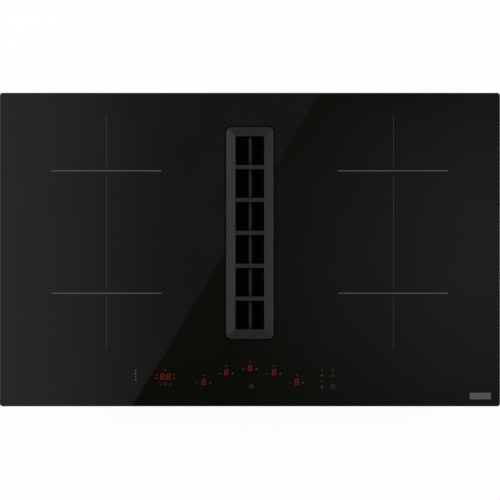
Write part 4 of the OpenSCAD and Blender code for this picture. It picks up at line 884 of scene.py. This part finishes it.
def pan_sign(x, y):
    """A pan with steam that rises to a point."""
    rim, foot, steam, tip = (2.75, -0.5), (2.1, -2.15), (2.3, 0), (-0.45, 3.0)
    tip_half = 0.2
    shapes = [line_shape(x - foot[0], y + foot[1], x + foot[0], y + foot[1], SIGN_STROKE)]
    for side in (-1, 1):
        shapes.append(line_shape(x + side * rim[0], y + rim[1], x + side * foot[0], y + foot[1],
                                 SIGN_STROKE))
        shapes.append(line_shape(x + side * steam[0], y + steam[1],
                                 x + side * tip_half + tip[0], y + tip[1], FINE_STROKE * 0.8))
    return shapes


def power_sign(x, y):
    """A ring with a stroke in it."""
    radius, stroke_up, height = 3.5, 0.4, 3.0
    return [*arc_shapes(x, y, radius, RING_STROKE, step=20),
            bar_shape(x, y + stroke_up, FINE_STROKE * 1.4, height)]


SIGNS = [(clock_sign, -140.0, -223.15), (hourglass_sign, -189.46, -205.15),
         (bell_sign, -189.4, -215.45), (fan_sign, 2.5, -227.55), (stop_sign, 119.5, -208.35),
         (lock_sign, 119.4, -227.0), (pan_sign, 137.8, -208.35), (power_sign, 137.7, -226.9)]


def make_legends():
    """Grey signs of the keys: plus and minus signs, and plain small symbols."""
    shapes = []
    for x, y, sign_y in ZONE_KEYS:
        shapes.append(bar_shape(x - SIGN_REACH, y + sign_y, SIGN_SIZE, SIGN_STROKE))
        shapes += plus_shapes(x + SIGN_REACH, y + sign_y, PLUS_SIZE, SIGN_STROKE)
    for draw, x, y in SIGNS:
        shapes += draw(x, y)
    mark("key_signs", shapes, M["legend_print"])


# Blank plate

PLATE_AT = (382.3 * MM, -242.9 * MM)
PLATE_HALF = (17.55 * MM, 5.5 * MM)
PLATE_THICK = 0.25 * MM
PLATE_WALL = 0.15 * MM       # height of its straight side, below the broken edge
PLATE_BREAK = 0.2 * MM       # width of that broken edge
PLATE_CORNER = 0.5 * MM


def make_plate():
    """The blank plate in the front right corner, with softly broken edges."""

    def outline(inset, corner, up):
        return rounded(PLATE_HALF[0] - inset, PLATE_HALF[1] - inset, corner, GLASS_TOP + up, 4,
                       PLATE_AT)

    bm = bmesh.new()
    made = loft(bm, [outline(0, PLATE_CORNER, 0), outline(0, PLATE_CORNER, PLATE_WALL),
                     outline(PLATE_BREAK, PLATE_CORNER * 0.8, PLATE_THICK)])
    bm.faces.new(made[0][::-1])
    bm.faces.new(made[-1])
    finish_mesh(bm, "blank_plate", M["plate_print"], "hob")


# Studio

FLOOR_HALF = 40.0            # the floor reaches this far from the middle
FLOOR_PAINT = (0.94, 0.94, 0.94, 1)
FLOOR_CAMERA_SHARE = 0.94    # share of plain white that the floor shows to the camera
CAMERA_AT = (0.19 * MM, -0.7 * MM, 5.006)
SENSOR = 36.0                # width in millimetres
LENS_TRIM = 1.001            # the glass fills this share of the frame's width
CARD_HEIGHT = 5.6            # above the glass
CARD_HALF = (1.6, 1.3)
# A place on the glass, times this, is where the camera sees the card mirrored in it
CARD_SCALE = 1 + CARD_HEIGHT / (CAMERA_AT[2] - GLASS_TOP)
EDGE_SLOPE, EDGE_X = 0.5952, -0.0397    # the card's slanted edge: X for each Y, and X at Y 0
EDGE_SOFT = 0.002            # half width of that edge
# Each side of the card: X where its tone starts and stops changing, and the level at both
COLD_SPAN, COLD_LEVELS = (-0.426, -0.089), (0.466, 0.158)
WARM_SPAN, WARM_LEVELS = (-0.013, 0.369), (0.07, 0.282)
WARM_BLUE = 0.026            # how much less blue the warm side has
FADE_Y, FADE_REACH = -0.003, 0.348      # Y where the warm side is brightest, and a distance in Y
FADE_DEPTH, FADE_LEAST = 0.82, 0.2      # the share lost at that distance, and the least that stays
LAMP_UP, LAMP_AWAY = 56, 3.2            # degrees above the horizon, and metres from the origin
# Each lamp: name, degrees round from X, size in metres and watts
LAMPS = [("softbox_left", 166, 1.8, 52.0), ("softbox_right", 0, 1.6, 28.2)]


def stage_plane(name, half_x, half_y, z, material):
    """A level rectangle of the studio, round the part's origin."""
    data = bpy.data.meshes.new(name)
    data.from_pydata([(-half_x, -half_y, z), (half_x, -half_y, z), (half_x, half_y, z),
                      (-half_x, half_y, z)], [], [(0, 1, 2, 3)])
    data.materials.append(material)
    plane = bpy.data.objects.new(name, data)
    bpy.context.scene.collection.objects.link(plane)
    return plane


def floor_material():
    """Pale floor, nearly white to the camera and in gloss, with a soft shadow; unseen from below."""
    material = bpy.data.materials.new("studio_floor")
    material.use_nodes = True
    tree = material.node_tree
    tree.nodes.remove(tree.nodes["Principled BSDF"])
    lit = add(tree, "BsdfDiffuse", {"Color": FLOOR_PAINT})
    plain = add(tree, "Emission", {"Color": (1, 1, 1, 1), "Strength": 1.0})
    path = add(tree, "LightPath")
    seen = add(tree, "Math", {0: path.outputs["Is Camera Ray"], 1: path.outputs["Is Glossy Ray"]},
               operation="MAXIMUM")
    seen = add(tree, "Math", {0: seen.outputs["Value"], 1: path.outputs["Is Transmission Ray"]},
               operation="MAXIMUM")
    share = add(tree, "Math", {0: seen.outputs["Value"], 1: FLOOR_CAMERA_SHARE},
                operation="MULTIPLY")
    both = add(tree, "MixShader", {0: share.outputs["Value"], 1: lit.outputs["BSDF"],
                                   2: plain.outputs["Emission"]})
    under = add(tree, "MixShader", {0: add(tree, "NewGeometry").outputs["Backfacing"],
                                    1: both.outputs["Shader"],
                                    2: add(tree, "BsdfTransparent").outputs["BSDF"]})
    tree.links.new(under.outputs["Shader"], tree.nodes["Material Output"].inputs["Surface"])
    return material


def card_material():
    """Overhead card that only reflections see: pale on the left, darkest just right of its edge."""
    material = bpy.data.materials.new("overhead_card")
    material.use_nodes = True
    tree = material.node_tree
    tree.nodes.remove(tree.nodes["Principled BSDF"])
    split = add(tree, "SeparateXYZ", {"Vector": add(tree, "TexCoord").outputs["Object"]})
    x, y = split.outputs["X"], split.outputs["Y"]
    unit = CARD_SCALE

    def maths(operation, a, b=0.0, clamp=False):
        return add(tree, "Math", {0: a, 1: b}, operation=operation,
                   use_clamp=clamp).outputs["Value"]

    def blend(span, levels, kind):
        return add(tree, "MapRange", {"Value": x, "From Min": span[0] * unit,
                                      "From Max": span[1] * unit, "To Min": levels[0],
                                      "To Max": levels[1]},
                   interpolation_type=kind).outputs["Result"]

    edge = maths("ADD", maths("MULTIPLY", y, EDGE_SLOPE), EDGE_X * unit)
    side = spread(tree, maths("SUBTRACT", x, edge), 0.0, 1.0, -EDGE_SOFT * unit, EDGE_SOFT * unit)
    left = blend(COLD_SPAN, COLD_LEVELS, "SMOOTHSTEP")
    right = blend(WARM_SPAN, WARM_LEVELS, "LINEAR")
    off = maths("MULTIPLY", maths("SUBTRACT", y, FADE_Y * unit), 1 / (FADE_REACH * unit))
    fade = maths("SUBTRACT", 1.0, maths("MULTIPLY", maths("MULTIPLY", off, off), FADE_DEPTH))
    right = maths("MULTIPLY", right, maths("MAXIMUM", fade, FADE_LEAST))
    cold = add(tree, "CombineColor", {"Red": left, "Green": left, "Blue": left})
    warm = add(tree, "CombineColor", {"Red": right, "Green": right,
                                      "Blue": maths("SUBTRACT", right, WARM_BLUE, clamp=True)})
    mixed = add(tree, "MixRGB", {"Fac": side, "Color1": cold.outputs["Color"],
                                 "Color2": warm.outputs["Color"]})
    glow = add(tree, "Emission", {"Color": mixed.outputs["Color"], "Strength": 1.0})
    tree.links.new(glow.outputs["Emission"], tree.nodes["Material Output"].inputs["Surface"])
    return material


def make_world():
    """Soft white surroundings, brightest from the horizon down."""
    world = bpy.data.worlds.new("studio_air")
    bpy.context.scene.world = world
    world.use_nodes = True
    tree = world.node_tree
    up = add(tree, "SeparateXYZ", {"Vector": add(tree, "TexCoord").outputs["Generated"]})
    level = ramp(tree, up.outputs["Z"], [(0.0, (1, 1, 1)), (0.35, (0.62, 0.62, 0.62)),
                                         (0.8, (0.34, 0.34, 0.34))])
    tree.links.new(level, tree.nodes["Background"].inputs["Color"])


def softbox(name, azimuth, size, watts):
    """Square lamp that points at the part's origin."""
    data = bpy.data.lights.new(name, "AREA")
    data.shape = "SQUARE"
    data.size = size
    data.energy = watts
    lamp = bpy.data.objects.new(name, data)
    a, e = math.radians(azimuth), math.radians(LAMP_UP)
    away = Vector((math.cos(a) * math.cos(e), math.sin(a) * math.cos(e), math.sin(e)))
    lamp.location = away * LAMP_AWAY
    lamp.rotation_mode = "QUATERNION"
    lamp.rotation_quaternion = away.to_track_quat("Z", "Y")
    bpy.context.scene.collection.objects.link(lamp)


def make_studio():
    """Floor, overhead card, surroundings and two lamps."""
    stage_plane("studio_floor", FLOOR_HALF, FLOOR_HALF, cad_low.z, floor_material())
    card = stage_plane("overhead_card", *CARD_HALF, GLASS_TOP + CARD_HEIGHT, card_material())
    card.visible_camera = card.visible_diffuse = card.visible_shadow = False
    card.visible_transmission = card.visible_volume_scatter = False
    make_world()
    for lamp in LAMPS:
        softbox(*lamp)


def make_camera():
    """Looks straight down, so that the glass fills the frame's width."""
    data = bpy.data.cameras.new("camera")
    data.type = "PERSP"
    data.sensor_width = SENSOR
    distance = CAMERA_AT[2] - GLASS_TOP
    data.lens = SENSOR * distance / (GLASS_HIGH.x - GLASS_LOW.x) * LENS_TRIM
    data.clip_start, data.clip_end = 0.05, 200.0
    camera = bpy.data.objects.new("camera", data)
    camera.location = CAMERA_AT
    bpy.context.scene.collection.objects.link(camera)
    bpy.context.scene.camera = camera


bpy.context.scene.view_settings.view_transform = "Standard"
dress_nodes()
make_glass()
make_grille()
make_zone_marks()
make_displays()
make_legends()
make_plate()
make_studio()
make_camera()
